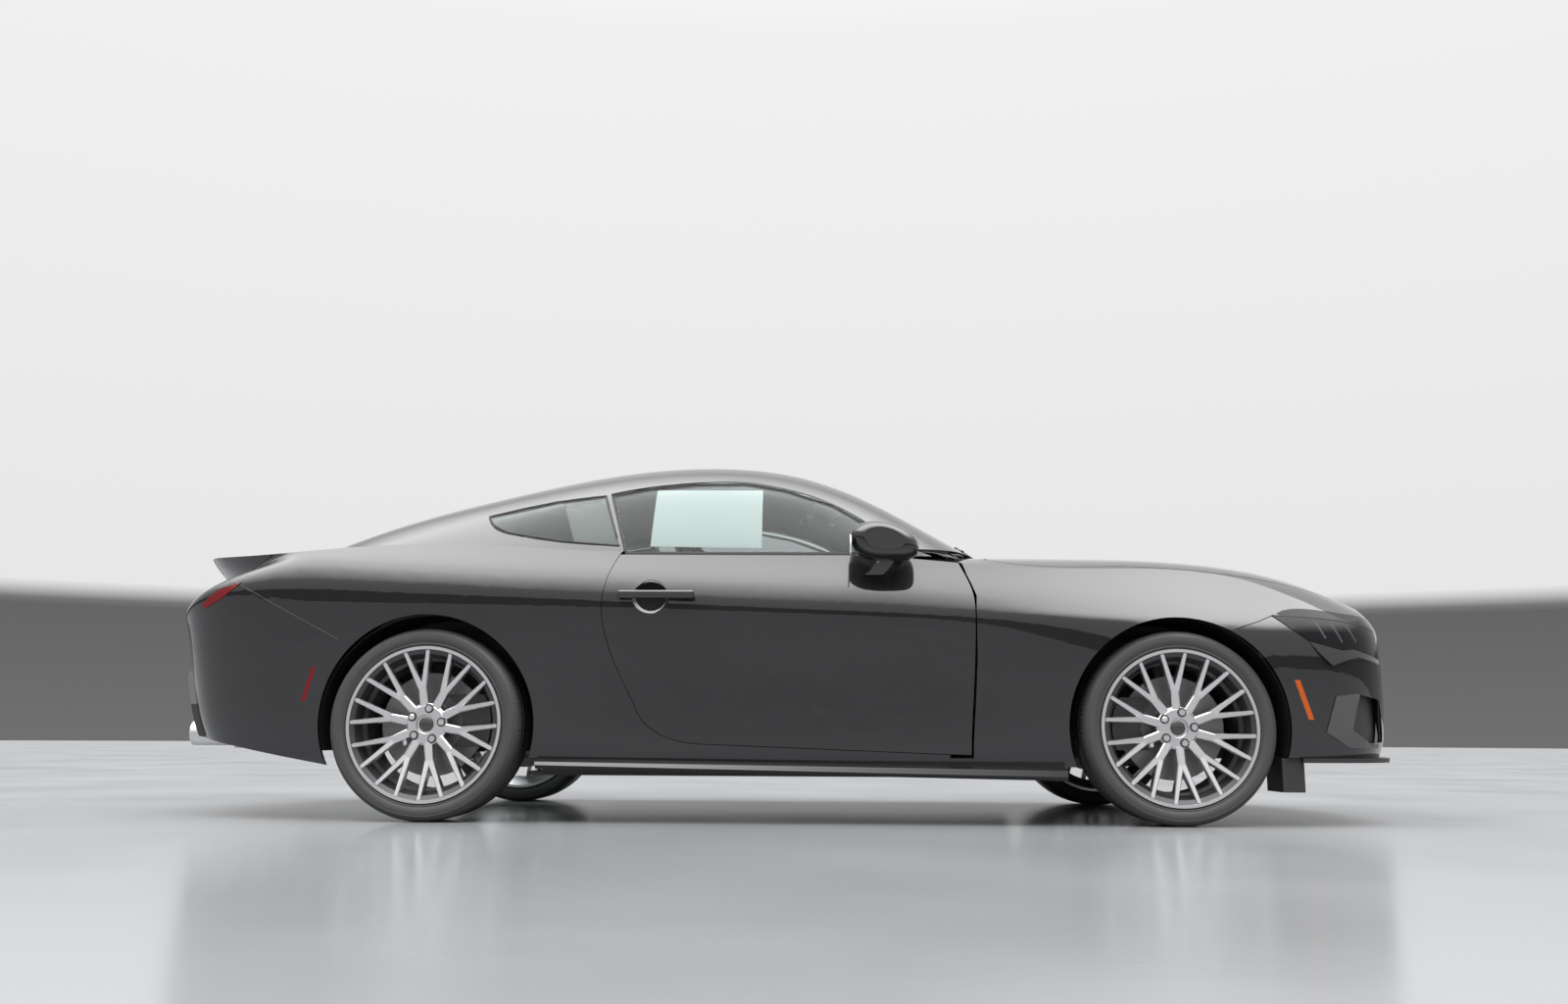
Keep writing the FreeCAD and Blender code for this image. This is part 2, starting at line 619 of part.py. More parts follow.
plate_holes = [
    Part.makeCylinder(PLATE_HOLE_R, 60, Vector(PLATE_X - 20, y, PLATE_Z + z), Vector(1, 0, 0))
    for y in (-PLATE_HOLES_Y / 2, PLATE_HOLES_Y / 2)
    for z in (-PLATE_HOLES_Z / 2, PLATE_HOLES_Z / 2)
]
rear_marker = largest(skin.common(side_prism(polygon(REAR_MARKER))))
front_marker = largest(skin.common(side_prism(polygon(FRONT_MARKER))))
rear = rear.cut([side_prism(polygon(REAR_MARKER), y1=BEYOND)]).fuse(plate_pad).cut(plate_holes)
keep("rear_bumper", largest(rear))
kept["front_bumper"] = kept["front_bumper"].cut(side_prism(polygon(FRONT_MARKER), y1=BEYOND))
lamps = tail_lamp + [rear_marker]
keep("tail_lamps", Part.Compound(lamps + [mirrored(lamp) for lamp in lamps]))
keep("front_markers", both_sides(front_marker))

diffuser_skin = side_block(inset(side_rows, -20)).cut(side_block(opened_below(inset(side_rows, 14))))
diffuser = diffuser_skin.common(front_prism(DIFFUSER_HALF, -2500, -1960)).cut(side_prism(polygon(REAR_HEM)))
EXHAUST_Y = 600
EXHAUST_Z = 312
EXHAUST_TIP_X = -2236
diffuser = diffuser.cut(Part.makeCylinder(56, 500, Vector(-2500, -EXHAUST_Y, EXHAUST_Z), Vector(1, 0, 0)))
keep("diffuser", whole(largest(diffuser)))

# Side skirts
def skirt_section(x, top, bottom):
    points = ((-790, top), (-905, top), (-930, top - 12), (-936, bottom + 14), (-915, bottom), (-790, bottom))
    corners = [Vector(x, y, z) for y, z in points]
    return Part.makePolygon(corners + corners[:1])


skirt = Part.makeLoft([skirt_section(-842, 228, 190), skirt_section(1062, 206, 158)], True)
rocker = skin.common(box(-200 + FIXED_SEAM, 650 - FIXED_SEAM, -BEYOND, 0, 150, 320))
rocker = largest(rocker.cut([under_skirt_line, door_hole]))
keep("side_skirts", Part.Compound([solid for side in (skirt, rocker) for solid in both_sides(side).Solids]))

# Floor, sills, tunnel and bulkheads
pan = box(-1620, 905, -790, 790, 165, 180)
sills = [box(-840, 1060, -790, -655, 180, 240), box(-840, 1060, 655, 790, 180, 240)]
tunnel = box(-900, 905, -150, 150, 165, 330)
firewall = box(905, 925, -690, 690, 165, 900).cut(box(900, 930, -135, 135, 160, 315))
hinge_pillar = joined([box(PILLAR_X, 925, -840, -690, 236, 800)] + [hinge_bracket(z) for z in HINGE_HEIGHTS])
bulkhead = box(-1040, -1020, -600, 600, 165, 870)
rails = [box(925, 2180, y, y + 60, 340, 440) for y in (-462, 402)]
boot = box(-2200, -1040, -600, 600, 440, 456)
shelf = box(-1640, -1040, -600, 600, 870, 886)
tail_wall = box(-2216, -2200, -600, 600, 440, 860)
nose_beam = box(2180, 2230, -600, 600, 340, 440)
under_lids = top_block(inset(top_rows, -LID_T))
latches = [box(2230 - 60, 2230, -60, 60, 430, 1000), box(-2216, -2190, -60, 60, 850, 1000)]
latches = [latch.common(under_lids) for latch in latches]
walls = [firewall, bulkhead, tail_wall, shelf, boot, tunnel, nose_beam]
floor = joined([pan, hinge_pillar, mirrored(hinge_pillar)] + walls + latches + sills + rails)
floor = floor.cut([box(-900, 906, -135, 135, 100, 315), arches, mirrored(arches)])
keep("floor", largest(floor))


def liner(hub, inner_y, outer_y):
    """The half barrel that lines a wheel arch, with its inner wall."""
    ring = Part.makeCylinder(ARCH_R + 7, outer_y - inner_y, Vector(hub.x, -inner_y, hub.z), OUT)
    ring = ring.cut(Part.makeCylinder(ARCH_R + 2, outer_y - inner_y - 5, Vector(hub.x, -inner_y - 5, hub.z), OUT))
    return ring.common(box(-3000, 3000, -BEYOND, 0, 250, 1000))


front_liner = liner(FRONT_HUB, 464, 880).cut(Part.makeCylinder(120, 40, FRONT_HUB + Vector(0, 340, 0), OUT))
rear_liner = liner(REAR_HUB, 602, 880).cut(Part.makeCylinder(130, 40, REAR_HUB + Vector(0, 230, 0), OUT))
front_liner = largest(front_liner.cut([kept["front_fender_right"], kept["front_bumper"]]))
rear_liner = largest(rear_liner.cut([kept["quarter_panel_right"], kept["rear_bumper"]]))
keep("wheel_liners", Part.Compound(both_sides(front_liner).Solids + both_sides(rear_liner).Solids))

# Cabin
seat_side = (
    (-190, 300), (330, 330), (345, 440), (300, 480), (-60, 430), (-150, 560), (-330, 1010), (-345, 1170),
    (-410, 1180), (-450, 1010), (-300, 500), (-250, 300)
)


keep("seat_right", extruded_side(seat_side, -620, -130 - 20))
keep("seat_left", mirrored(kept["seat_right"]))
bench = ((-560, 331), (-560, 420), (-830, 400), (-960, 800), (-1015, 800), (-1015, 331))
keep("rear_seat", extruded_side(bench, -590, 590))
dash = ((903, 600), (903, 930), (700, 925), (520, 900), (420, 840), (400, 720), (520, 640), (700, 600))
keep("dashboard", extruded_side(dash, -688, 688))
WHEEL_CENTRE = Vector(330, 370, 850)
wheel_axis = Vector(-0.93, 0, 0.37)
ring = Part.makeTorus(172, 16, WHEEL_CENTRE, wheel_axis)
hub = Part.makeCylinder(55, 40, WHEEL_CENTRE - wheel_axis * 45, wheel_axis)
column = Part.makeCylinder(28, 95, WHEEL_CENTRE - wheel_axis * 135, wheel_axis)
spoke = box(-12, 12, -165, 165, -6, 6)
spoke.rotate(Vector(0, 0, 0), Vector(0, 1, 0), -21.7)
spoke.translate(WHEEL_CENTRE - wheel_axis * 20)
keep("steering_wheel", joined([ring, hub, column, spoke]).cut(kept["dashboard"]))

# Engine, exhaust and running gear
keep("engine", box(1020, 1680, -300, 300, 300, 800))
RUN = 240
pipes = []
for side in (-1, 1):
    pipes.append(tube([Vector(1000, side * 70, RUN), Vector(-1000, side * 70, RUN), Vector(-1560, side * 330, 330),
                       Vector(-1750, side * 420, 318)], 32))
    pipes.append(box(-2060, -1750, side * 520 - 120, side * 520 + 120, 256, 400))
    tip = Part.makeCylinder(47, 180, Vector(EXHAUST_TIP_X, side * EXHAUST_Y, EXHAUST_Z), Vector(1, 0, 0))
    pipes.append(tip.cut(Part.makeCylinder(43, 160, Vector(EXHAUST_TIP_X, side * EXHAUST_Y, EXHAUST_Z), Vector(1, 0, 0))))
exhaust = joined(pipes)
keep("exhaust", exhaust)


def caliper(side):
    """The brake caliper that straddles the disc, behind or ahead of the hub."""
    block = Part.makeCylinder(222, 90, Vector(0, 66, 0), OUT)
    block = block.cut(Part.makeCylinder(118, 90, Vector(0, 66, 0), OUT))
    block = block.common(box(60 if side > 0 else -230, 230 if side > 0 else -60, -30, 70, -80, 110))
    slot = Part.makeCylinder(DISC_R + 5, DISC_T + 10, Vector(0, DISC_T + 6, 0), OUT)
    return block.cut(slot)


def knuckle_at(hub, caliper_side):
    """Upright, bearing and caliper at a hub; the disc turns between the caliper's pads."""
    upright = box(-40, 40, 46, 96, -120, 88)
    bearing = Part.makeCylinder(60, 60, Vector(0, 100, 0), OUT)
    arm = box(min(0, caliper_side * 150), max(0, caliper_side * 150), 46, 66, -40, 60)
    shape = joined([upright, bearing, arm, caliper(caliper_side)])
    shape.translate(hub)
    return shape


STRUT_Y = -595
strut = joined([
    Part.makeCylinder(27, 330, Vector(FRONT_AXLE_X, STRUT_Y, 300)),
    Part.makeCylinder(48, 150, Vector(FRONT_AXLE_X, STRUT_Y, 556)),
    box(FRONT_AXLE_X - 30, FRONT_AXLE_X + 30, -715, STRUT_Y, 330, 420),
])
keep("knuckle_right", knuckle_at(FRONT_HUB, -1).fuse(strut))
keep("knuckle_left", mirrored(kept["knuckle_right"]))
keep("rear_knuckles", both_sides(knuckle_at(REAR_HUB, 1)))

subframe = box(1330, 1610, -330, 330, 200, 262)
ARM_TOP_Z = HUB_Z - 120
arm_low = Part.Face(Part.makePolygon([Vector(x, y, ARM_TOP_Z - 18) for x, y in (
    (1340, -330), (1600, -330), (1500, -715), (1440, -715), (1340, -330))])).extrude(Vector(0, 0, 18))
stub = box(1560, 1600, -462, -330, 262, 340)
front_parts = [subframe, arm_low, mirrored(arm_low), stub, mirrored(stub)]
front_suspension = joined(front_parts)
keep("front_suspension", front_suspension)

rear_frame = box(-1480, -1020, -330, 330, 262, 300)
rear_frame = rear_frame.fuse([box(x, x + 40, y, y + 40, 300, 440) for x in (-1440, -1100) for y in (-310, 270)])
diff = Part.makeSphere(125, Vector(REAR_AXLE_X, 0, 350)).common(box(-1400, -1100, -120, 120, 240, 436))
shafts = Part.makeCylinder(18, 2 * 711, Vector(REAR_AXLE_X, -711, HUB_Z), Vector(0, 1, 0))
rear_arm = box(-1300, -1200, -720, -330, 262, 282)
keep("rear_suspension", joined([rear_frame, diff, shafts, rear_arm, mirrored(rear_arm)]).cut(
    [kept["exhaust"], kept["rear_knuckles"]]))


# Wheels, drawn about their own centre with the outer face towards -Y
def lathe(profile):
    """A ring from its (radius, outward) profile."""
    return turned([Vector(r, -w, 0) for r, w in profile], Vector(0, 0, 0), Vector(0, 1, 0))


RIM_PROFILE = (
    (RIM_LIP_R, RIM_HALF_W), (RIM_LIP_R, RIM_SEAT_HALF_W), (257, RIM_SEAT_HALF_W), (248, 62), (238, 40),
    (238, -98), (257, -RIM_SEAT_HALF_W), (RIM_LIP_R, -RIM_SEAT_HALF_W), (RIM_LIP_R, -RIM_HALF_W),
    (270, -RIM_HALF_W), (244, -108), (231, -98), (231, 40), (241, 66), (254, 118), (270, RIM_HALF_W)
)
TREAD_HALF_W = 104
TYRE_PROFILE = (
    (258, RIM_SEAT_HALF_W), (RIM_LIP_R + 2, RIM_SEAT_HALF_W), (316, TYRE_HALF_W), (TYRE_R, TREAD_HALF_W),
    (TYRE_R, -TREAD_HALF_W), (316, -TYRE_HALF_W), (RIM_LIP_R + 2, -RIM_SEAT_HALF_W), (258, -RIM_SEAT_HALF_W)
)
HUB_PROFILE = ((0, 45), (72, 45), (80, 60), (76, 84), (66, 92), (36, 92), (33, 84), (0, 84))


def bar_between(start, end, start_size, end_size):
    """A tapered bar of flat-topped section from one point of the wheel face to another."""
    along = (end - start).normalize()
    across = along.cross(Vector(0, 1, 0)).normalize()
    sections = []
    for centre, (width, depth) in ((start, start_size), (end, end_size)):
        low = centre + Vector(0, depth, 0)
        corners = [
            low - across * (width * 0.62), low + across * (width * 0.62),
            centre + Vector(0, 5, 0) + across * (width * 0.5), centre + across * (width * 0.34),
            centre - across * (width * 0.34), centre + Vector(0, 5, 0) - across * (width * 0.5),
        ]
        sections.append(Part.makePolygon(corners + corners[:1]))
    return Part.makeLoft(sections, True, True)


def on_face(radius, angle, outward):
    """A point of the wheel face."""
    turn = math.radians(angle)
    return Vector(radius * math.sin(turn), -outward, radius * math.cos(turn))


def rim():
    """The rim, its hub and its forked spokes."""
    spokes = []
    for index in range(SPOKES):
        angle = index * 360 / SPOKES
        spokes.append(bar_between(on_face(60, angle, 90), on_face(150, angle, 97), (26, 38), (22, 34)))
        for turn in (-FORK_ANGLE, FORK_ANGLE):
            spokes.append(bar_between(on_face(138, angle + turn * 0.12, 96), on_face(252, angle + turn, 113),
                                      (15, 34), (15, 28)))
    core = lathe(HUB_PROFILE)
    for index in range(LUGS):
        place = on_face(LUG_CIRCLE_R, 180 / SPOKES + index * 360 / LUGS, 78)
        core = core.cut(Part.makeCylinder(15, 40, place, OUT))
        core = core.fuse(Part.makeCylinder(10.5, 24, place + Vector(0, 4, 0), OUT))
    outer = lathe(RIM_PROFILE)
    spread = joined(spokes).common(Part.makeCylinder(258, 300, Vector(0, 150, 0), OUT))
    return outer.fuse([spread, core])


def place_wheels(shape, name):
    """The same wheel piece at the four hubs, turned as the wheels came to rest."""
    for corner, hub, turn in (("front", FRONT_HUB, FRONT_REST_TURN), ("rear", REAR_HUB, REAR_REST_TURN)):
        right = shape.copy()
        right.rotate(Vector(0, 0, 0), Vector(0, 1, 0), turn)
        right.translate(hub)
        keep(name + "_" + corner + "_right", right)
        keep(name + "_" + corner + "_left", mirrored(right))


place_wheels(rim(), "rim")
place_wheels(lathe(TYRE_PROFILE), "tyre")
DISC_PROFILE = (
    (0, 45), (68, 45), (72, 38), (72, -1), (DISC_R, -1), (DISC_R, -DISC_T - 1), (66, -DISC_T - 1), (62, 35), (0, 35)
)
place_wheels(lathe(DISC_PROFILE), "brake_disc")

# Door hardware: the mirror's shell is lofted through sections across the car
MIRROR_SECTION = (
    (300, 1052), (352, 1080), (430, 1078), (496, 1050), (538, 1004), (532, 962), (470, 942), (380, 944), (318, 968),
    (294, 1010)
)
MIRROR_CENTRE = (410, 1010)
MIRROR_SHELL = ((-1040, 0.52), (-1030, 0.78), (-1000, 0.96), (-950, 1.0), (-905, 0.94), (-886, 0.78))
FOOT_SECTIONS = ((950, 392, 488, -924, -888), (925, 372, 470, -916, -872), (896, 330, 442, -900, -860))


def mirror_section(y, share):
    """The mirror's outline at a distance from the centre line, drawn in towards its centre by a share."""
    x0, z0 = MIRROR_CENTRE
    curve = Part.BSplineCurve()
    curve.interpolate([Vector(x0 + (x - x0) * share, y, z0 + (z - z0) * share) for x, z in MIRROR_SECTION],
                      PeriodicFlag=True)
    return Part.Wire(curve.toShape())


def foot_section(z, x0, x1, y0, y1):
    """The mirror foot's outline at a height."""
    corners = [Vector(x0, y1, z), Vector(x0 + 14, y0, z), Vector(x1 - 30, y0, z), Vector(x1, y1, z)]
    return Part.makePolygon(corners + corners[:1])


head = Part.makeLoft([mirror_section(*section) for section in MIRROR_SHELL], True)
foot = Part.makeLoft([foot_section(*section) for section in FOOT_SECTIONS], True)
mirror = head.fuse(foot).cut([kept["door_right"], kept["door_glass_right"]])
keep("mirror_right", largest(mirror))

HANDLE_X = (-556, -276)
HANDLE_Y = (-966, -942)
HANDLE_Z = (802, 832)
HANDLE_ROUND = 9
CUP_CENTRE = Vector(-437, -988, 817)
CUP_R = 92
kept["door_right"] = kept["door_right"].cut(Part.makeSphere(CUP_R, CUP_CENTRE))
grip = box(*HANDLE_X, *HANDLE_Y, *HANDLE_Z)
grip = grip.makeFillet(HANDLE_ROUND, grip.Edges)
posts = [box(x, x + 24, HANDLE_Y[1] - 12, -890, HANDLE_Z[0] + 4, HANDLE_Z[1] - 4) for x in (HANDLE_X[0] + 12, HANDLE_X[1] - 36)]
handle = grip.fuse(posts).cut(kept["door_right"])
keep("door_handle_right", largest(handle))

for name in ("front_fender", "quarter_panel", "pillar_frame", "door", "door_glass", "mirror", "door_handle"):
    keep(name + "_left", mirrored(kept[name + "_right"]))

os.makedirs("parts", exist_ok=True)
for name, shape in kept.items():
    shape.translate(Vector(SHIFT_X, 0, 0))
    shape.exportStep("parts/" + name + ".step")
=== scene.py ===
import math

import bmesh
import bpy
from mathutils import Matrix, Vector


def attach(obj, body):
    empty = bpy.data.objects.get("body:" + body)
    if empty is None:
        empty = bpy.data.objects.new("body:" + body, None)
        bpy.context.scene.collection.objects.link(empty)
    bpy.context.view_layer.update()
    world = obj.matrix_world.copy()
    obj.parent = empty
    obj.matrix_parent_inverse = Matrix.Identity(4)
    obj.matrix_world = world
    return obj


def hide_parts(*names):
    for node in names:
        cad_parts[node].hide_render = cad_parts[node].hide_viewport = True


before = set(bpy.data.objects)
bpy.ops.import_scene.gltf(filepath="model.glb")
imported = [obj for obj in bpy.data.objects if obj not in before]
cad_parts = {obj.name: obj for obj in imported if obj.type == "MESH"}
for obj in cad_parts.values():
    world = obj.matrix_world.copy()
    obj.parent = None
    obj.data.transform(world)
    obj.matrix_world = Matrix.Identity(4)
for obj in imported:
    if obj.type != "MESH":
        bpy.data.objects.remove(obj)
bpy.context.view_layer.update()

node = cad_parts


# The studio: a pale polished floor, walls that are grey to about head height and white above, and a wide soft
# glow overhead. The camera stands low beside the car's right door, turned a little upwards.
FLOOR_R = 60
WALL_SHADES = ((0.0, 0.16), (0.085, 0.13), (0.097, 0.80), (0.30, 0.84), (0.60, 0.9), (1.0, 0.9))
GLOW_HEIGHT = ((0.0, 0.0), (0.48, 0.0), (0.62, 0.35), (0.76, 0.8), (0.90, 1.0), (1.0, 1.0))
GLOW_SIDE = ((0.0, 1.0), (0.54, 1.0), (0.66, 0.45), (0.78, 0.1), (1.0, 0.08))
GLOW_POWER = 7.0
LENS_MM = 31.4
FILM_MM = 36
CAMERA_PLACE = Vector((0.147, -5.9, 0.308))
CAMERA_PITCH = 9.74
CAMERA_YAW = 1.65
CAMERA_ROLL = 0.3


class Signal:
    """A value on its way through a material's nodes; sums and products of signals add Math nodes."""

    def __init__(self, tree, socket=None):
        self.tree = tree
        self.socket = socket

    def node(self, kind, settings=None, inputs=None, output=0):
        """Adds a node, sets it, fills its sockets and gives the signal of one of its outputs."""
        made = self.tree.nodes.new("ShaderNode" + kind)
        for name, value in (settings or {}).items():
            setattr(made, name, value)
        for name, value in (inputs or {}).items():
            if isinstance(value, Signal):
                self.tree.links.new(value.socket, made.inputs[name])
            else:
                made.inputs[name].default_value = value
        return Signal(self.tree, made.outputs[output])

    def ramp(self, stops):
        """Turns a value between 0 and 1 into the grey of the stops (position, shade) round it."""
        ramp = self.tree.nodes.new("ShaderNodeValToRGB")
        self.tree.links.new(self.socket, ramp.inputs[0])
        elements = ramp.color_ramp.elements
        while len(elements) < len(stops):
            elements.new(1)
        for element, (position, shade) in zip(elements, stops):
            element.position = position
            element.color = (shade, shade, shade, 1)
        return Signal(self.tree, ramp.outputs[0])

    def maths(self, operation, first, second):
        return self.node("Math", {"operation": operation}, {0: first, 1: second})

    def bump(self, strength, depth):
        """Turns a height between 0 and 1 into a surface that is as many metres deep."""
        return self.node("Bump", inputs={"Height": self, "Strength": strength, "Distance": depth})

    def __add__(self, other):
        return self.maths("ADD", self, other)

    def __mul__(self, other):
        return self.maths("MULTIPLY", self, other)


def noise(place, scale, detail=2):
    return place.node("TexNoise", inputs={"Vector": place, "Scale": scale, "Detail": detail})


def finish(name, constants, pattern=None):
    """A material. Constants are set on its shader; pattern takes the place on the object and gives what
    varies over it."""
    material = bpy.data.materials.new(name)
    material.use_nodes = True
    tree = material.node_tree
    shader = tree.nodes["Principled BSDF"]
    for socket, value in constants.items():
        shader.inputs[socket].default_value = (*value, 1) if isinstance(value, tuple) else value
    if pattern:
        place = Signal(tree).node("TexCoord", output="Object")
        for socket, signal in pattern(place).items():
            tree.links.new(signal.socket, shader.inputs[socket])
    return material


def floor_pattern(place):
    clouds = noise(place, 0.9, 6)
    return {"Roughness": clouds * 0.16 + 0.12}


bpy.ops.mesh.primitive_circle_add(vertices=96, radius=FLOOR_R, fill_type="NGON")
floor = bpy.context.object
floor.name = "studio_floor"
floor.data.materials.append(finish("studio floor", {"Base Color": (0.20, 0.205, 0.212)}, floor_pattern))

world = bpy.context.scene.world or bpy.data.worlds.new("studio")
bpy.context.scene.world = world
world.use_nodes = True
sight = Signal(world.node_tree).node("TexCoord", output="Generated")
height = sight.node("SeparateXYZ", inputs={0: sight}, output="Z")
across = sight.node("SeparateXYZ", inputs={0: sight}, output="Y") * 0.5 + 0.5
shades = height.ramp(WALL_SHADES)
glow = height.ramp(GLOW_HEIGHT) * across.ramp(GLOW_SIDE) * GLOW_POWER + 1.0
background = world.node_tree.nodes["Background"]
world.node_tree.links.new(shades.socket, background.inputs["Color"])
world.node_tree.links.new(glow.socket, background.inputs["Strength"])
bpy.context.scene.view_settings.view_transform = "Standard"

camera = bpy.data.objects.new("camera", bpy.data.cameras.new("camera"))
camera.data.lens = LENS_MM
camera.data.sensor_width = FILM_MM
camera.matrix_world = (
    Matrix.Translation(CAMERA_PLACE)
    @ Matrix.Rotation(math.radians(CAMERA_YAW), 4, "Z")
    @ Matrix.Rotation(math.radians(90 + CAMERA_PITCH), 4, "X")
    @ Matrix.Rotation(math.radians(CAMERA_ROLL), 4, "Z")
)
bpy.context.scene.collection.objects.link(camera)
bpy.context.scene.camera = camera


# The painted panels: pressed steel and aluminium in gloss black, with fine metal flake under a clear
# lacquer that has the faint orange peel of a sprayed coat. They are bolted or hinged to the floor.
SIDES = {"right": -1, "left": 1}


def paint_pattern(place):
    return {
        "Roughness": noise(place, 2600, 1) * 0.2 + 0.3,
        "Normal": noise(place, 160).bump(0.012, 0.001),
    }


def dress(material, *names):
    """Gives CAD nodes a finish."""
    for name in names:
        node[name].material_slots[0].material = material


body_paint = finish("body paint", {
    "Base Color": (0.006, 0.006, 0.007), "Specular IOR Level": 0.1, "Coat Weight": 1.0,
    "Coat Roughness": 0.01, "Coat IOR": 1.6,
}, paint_pattern)
dress(body_paint, "roof", "hood", "decklid", "front_bumper", "rear_bumper", "side_skirts")
for side in SIDES:
    for panel in ("door", "front_fender", "quarter_panel", "pillar_frame", "mirror", "door_handle"):
        dress(body_paint, panel + "_" + side)


# The window glass: a laminated windshield and tempered side and rear panes, lightly tinted and polished,
# bonded to the pillars or guided in the doors. Light passes straight through, and the face reflects more at
# a slant.
GLASS_TINT = (0.74, 0.77, 0.765)
GLASS_IOR = 1.22
GLASS_POLISH = 0.01


def glass(name, tint):
    material = bpy.data.materials.new(name)
    material.use_nodes = True
    tree = material.node_tree
    tree.nodes.clear()
    start = Signal(tree)
    slant = start.node("Fresnel", inputs={"IOR": GLASS_IOR})
    clear = start.node("BsdfTransparent", inputs={"Color": (*tint, 1)})
    face = start.node("BsdfGlossy", inputs={"Color": (1, 1, 1, 1), "Roughness": GLASS_POLISH})
    mixed = start.node("MixShader", inputs={0: slant, 1: clear, 2: face})
    output = tree.nodes.new("ShaderNodeOutputMaterial")
    tree.links.new(mixed.socket, output.inputs["Surface"])
    return material


window_glass = glass("window glass", GLASS_TINT)
dress(window_glass, "windshield", "rear_window", "quarter_glasses", "door_glass_right", "door_glass_left")


# The black plastic: grained, through-coloured mouldings of the cowl, grilles, splitter, diffuser, liners,
# dashboard and steering wheel, clipped or screwed to the steelwork.
def grain_pattern(place):
    grain = place.node("TexVoronoi", inputs={"Vector": place, "Scale": 900})
    return {
        "Roughness": noise(place, 7, 4) * 0.2 + 0.42,
        "Normal": grain.bump(0.25, 0.0004),
    }


black_plastic = finish("black plastic", {"Base Color": (0.016, 0.016, 0.017)}, grain_pattern)
dress(black_plastic, "cowl", "grilles", "splitter", "diffuser", "wheel_liners", "dashboard", "steering_wheel")


# The unseen metalwork: the floor and the engine in satin underbody coating, and the arms and knuckles as
# rough castings, bolted to the floor's rails.
def cast_pattern(place):
    return {
        "Roughness": noise(place, 18, 3) * 0.3 + 0.4,
        "Normal": noise(place, 420, 5).bump(0.4, 0.0006),
    }


underbody = finish("underbody coating", {"Base Color": (0.02, 0.02, 0.022)}, cast_pattern)
casting = finish("casting", {"Base Color": (0.10, 0.10, 0.10), "Metallic": 0.8}, cast_pattern)
dress(underbody, "floor", "engine")
dress(casting, "front_suspension", "rear_suspension", "rear_knuckles", "knuckle_right", "knuckle_left")


# The wheels: cast aluminium rims with ten forked spokes in bright silver lacquer over turned steel discs,
# each held by five domed chrome nuts round a bare black cap. A stem or prong has two ends, each with its
# radius, turn, height over the hub, width and depth.
HUB_Z = 0.3465
HUBS = {"front": (1.425, 0.786, -3), "rear": (-1.295, 0.812, -8)}
SPOKES = 10
STEM = ((0.070, 0, 0.0920, 0.031, 0.022), (0.148, 0, 0.1000, 0.029, 0.026))
PRONG = ((0.132, 2.16, 0.0996, 0.022, 0.026), (0.269, 9, 0.1262, 0.0155, 0.022))
BAR_SECTION = ((-0.5, 1.0), (-0.5, 0.16), (-0.36, 0.0), (0.36, 0.0), (0.5, 0.16), (0.5, 1.0))
# The well's and the pockets' sections are thin dark rings of painted shade: one over the shadowed slope
# inside the rim's lip, one round each nut.
WELL_SHADE_SECTION = (
    (0.2695, 0.1272), (0.2538, 0.1186), (0.2404, 0.0664),
    (0.2398, 0.0660), (0.2532, 0.1180), (0.2690, 0.1266),
)
WELL_STEPS = 96
POCKET_SHADE_SECTION = ((0.0128, 0.0921), (0.0128, 0.0926), (0.0168, 0.0926), (0.0168, 0.0921))
POCKET_STEPS = 24
NUT_TURNS = range(18, 360, 72)
NUT_CIRCLE_R = 0.0572
NUT_R = 0.0125
NUT_TAPER = 0.92
NUT_ROUND = 0.004
NUT_FOOT = 0.076
NUT_TOP = 0.099
CAP_R = 0.0270
CAP_FACE = 0.0842
CAP_DOME = 0.006


def add_piece(name, body, material, form, sharp=35, stands_for=()):
    """Makes an object of a bmesh, with edges sharp beyond an angle, that rides on a body."""
    mesh = bpy.data.meshes.new(name)
    form.to_mesh(mesh)
    form.free()
    mesh.polygons.foreach_set("use_smooth", [True] * len(mesh.polygons))
    mesh.set_sharp_from_angle(angle=math.radians(sharp))
    mesh.materials.append(material)
    made = bpy.data.objects.new(name, mesh)
    bpy.context.scene.collection.objects.link(made)
    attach(made, body)
    if stands_for:
        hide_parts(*stands_for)
    return made


def closed_loop(form, verts):
    """Joins points to a closed loop and gives its edges."""
    return [form.edges.new((verts[i], verts[(i + 1) % len(verts)])) for i in range(len(verts))]


def spin_section(form, section, centre, steps):
    """Spins a closed section (radius, outward) about an axis along the car's width."""
    verts = [form.verts.new(centre + Vector((0, -outward, radius))) for radius, outward in section]
    bmesh.ops.spin(form, geom=verts + closed_loop(form, verts), cent=centre, axis=(0, 1, 0), angle=math.tau,
                   steps=steps, use_merge=True)


def lean(form, verts, axis, degrees):
    """Turns points about an axis of the car."""
    turned = Matrix.Rotation(math.radians(degrees), 3, axis)
    bmesh.ops.rotate(form, cent=(0, 0, 0), matrix=turned, verts=verts)


def to_hub(form, corner, side):
    """Moves what is drawn about a hub, with its outer face towards -Y, to a wheel of the car."""
    x, y, rest_turn = HUBS[corner]
    bmesh.ops.transform(form, matrix=Matrix.Rotation(math.radians(rest_turn), 4, "Y"), verts=form.verts)
    bmesh.ops.scale(form, vec=(1, -SIDES[side], 1), verts=form.verts)
    bmesh.ops.translate(form, vec=(x, SIDES[side] * y, HUB_Z), verts=form.verts)
    bmesh.ops.recalc_face_normals(form, faces=form.faces)


def face_point(radius, angle, outward):
    """A point of a wheel's face, which looks towards -Y."""
    turn = math.radians(angle)
    return Vector((radius * math.sin(turn), -outward, radius * math.cos(turn)))


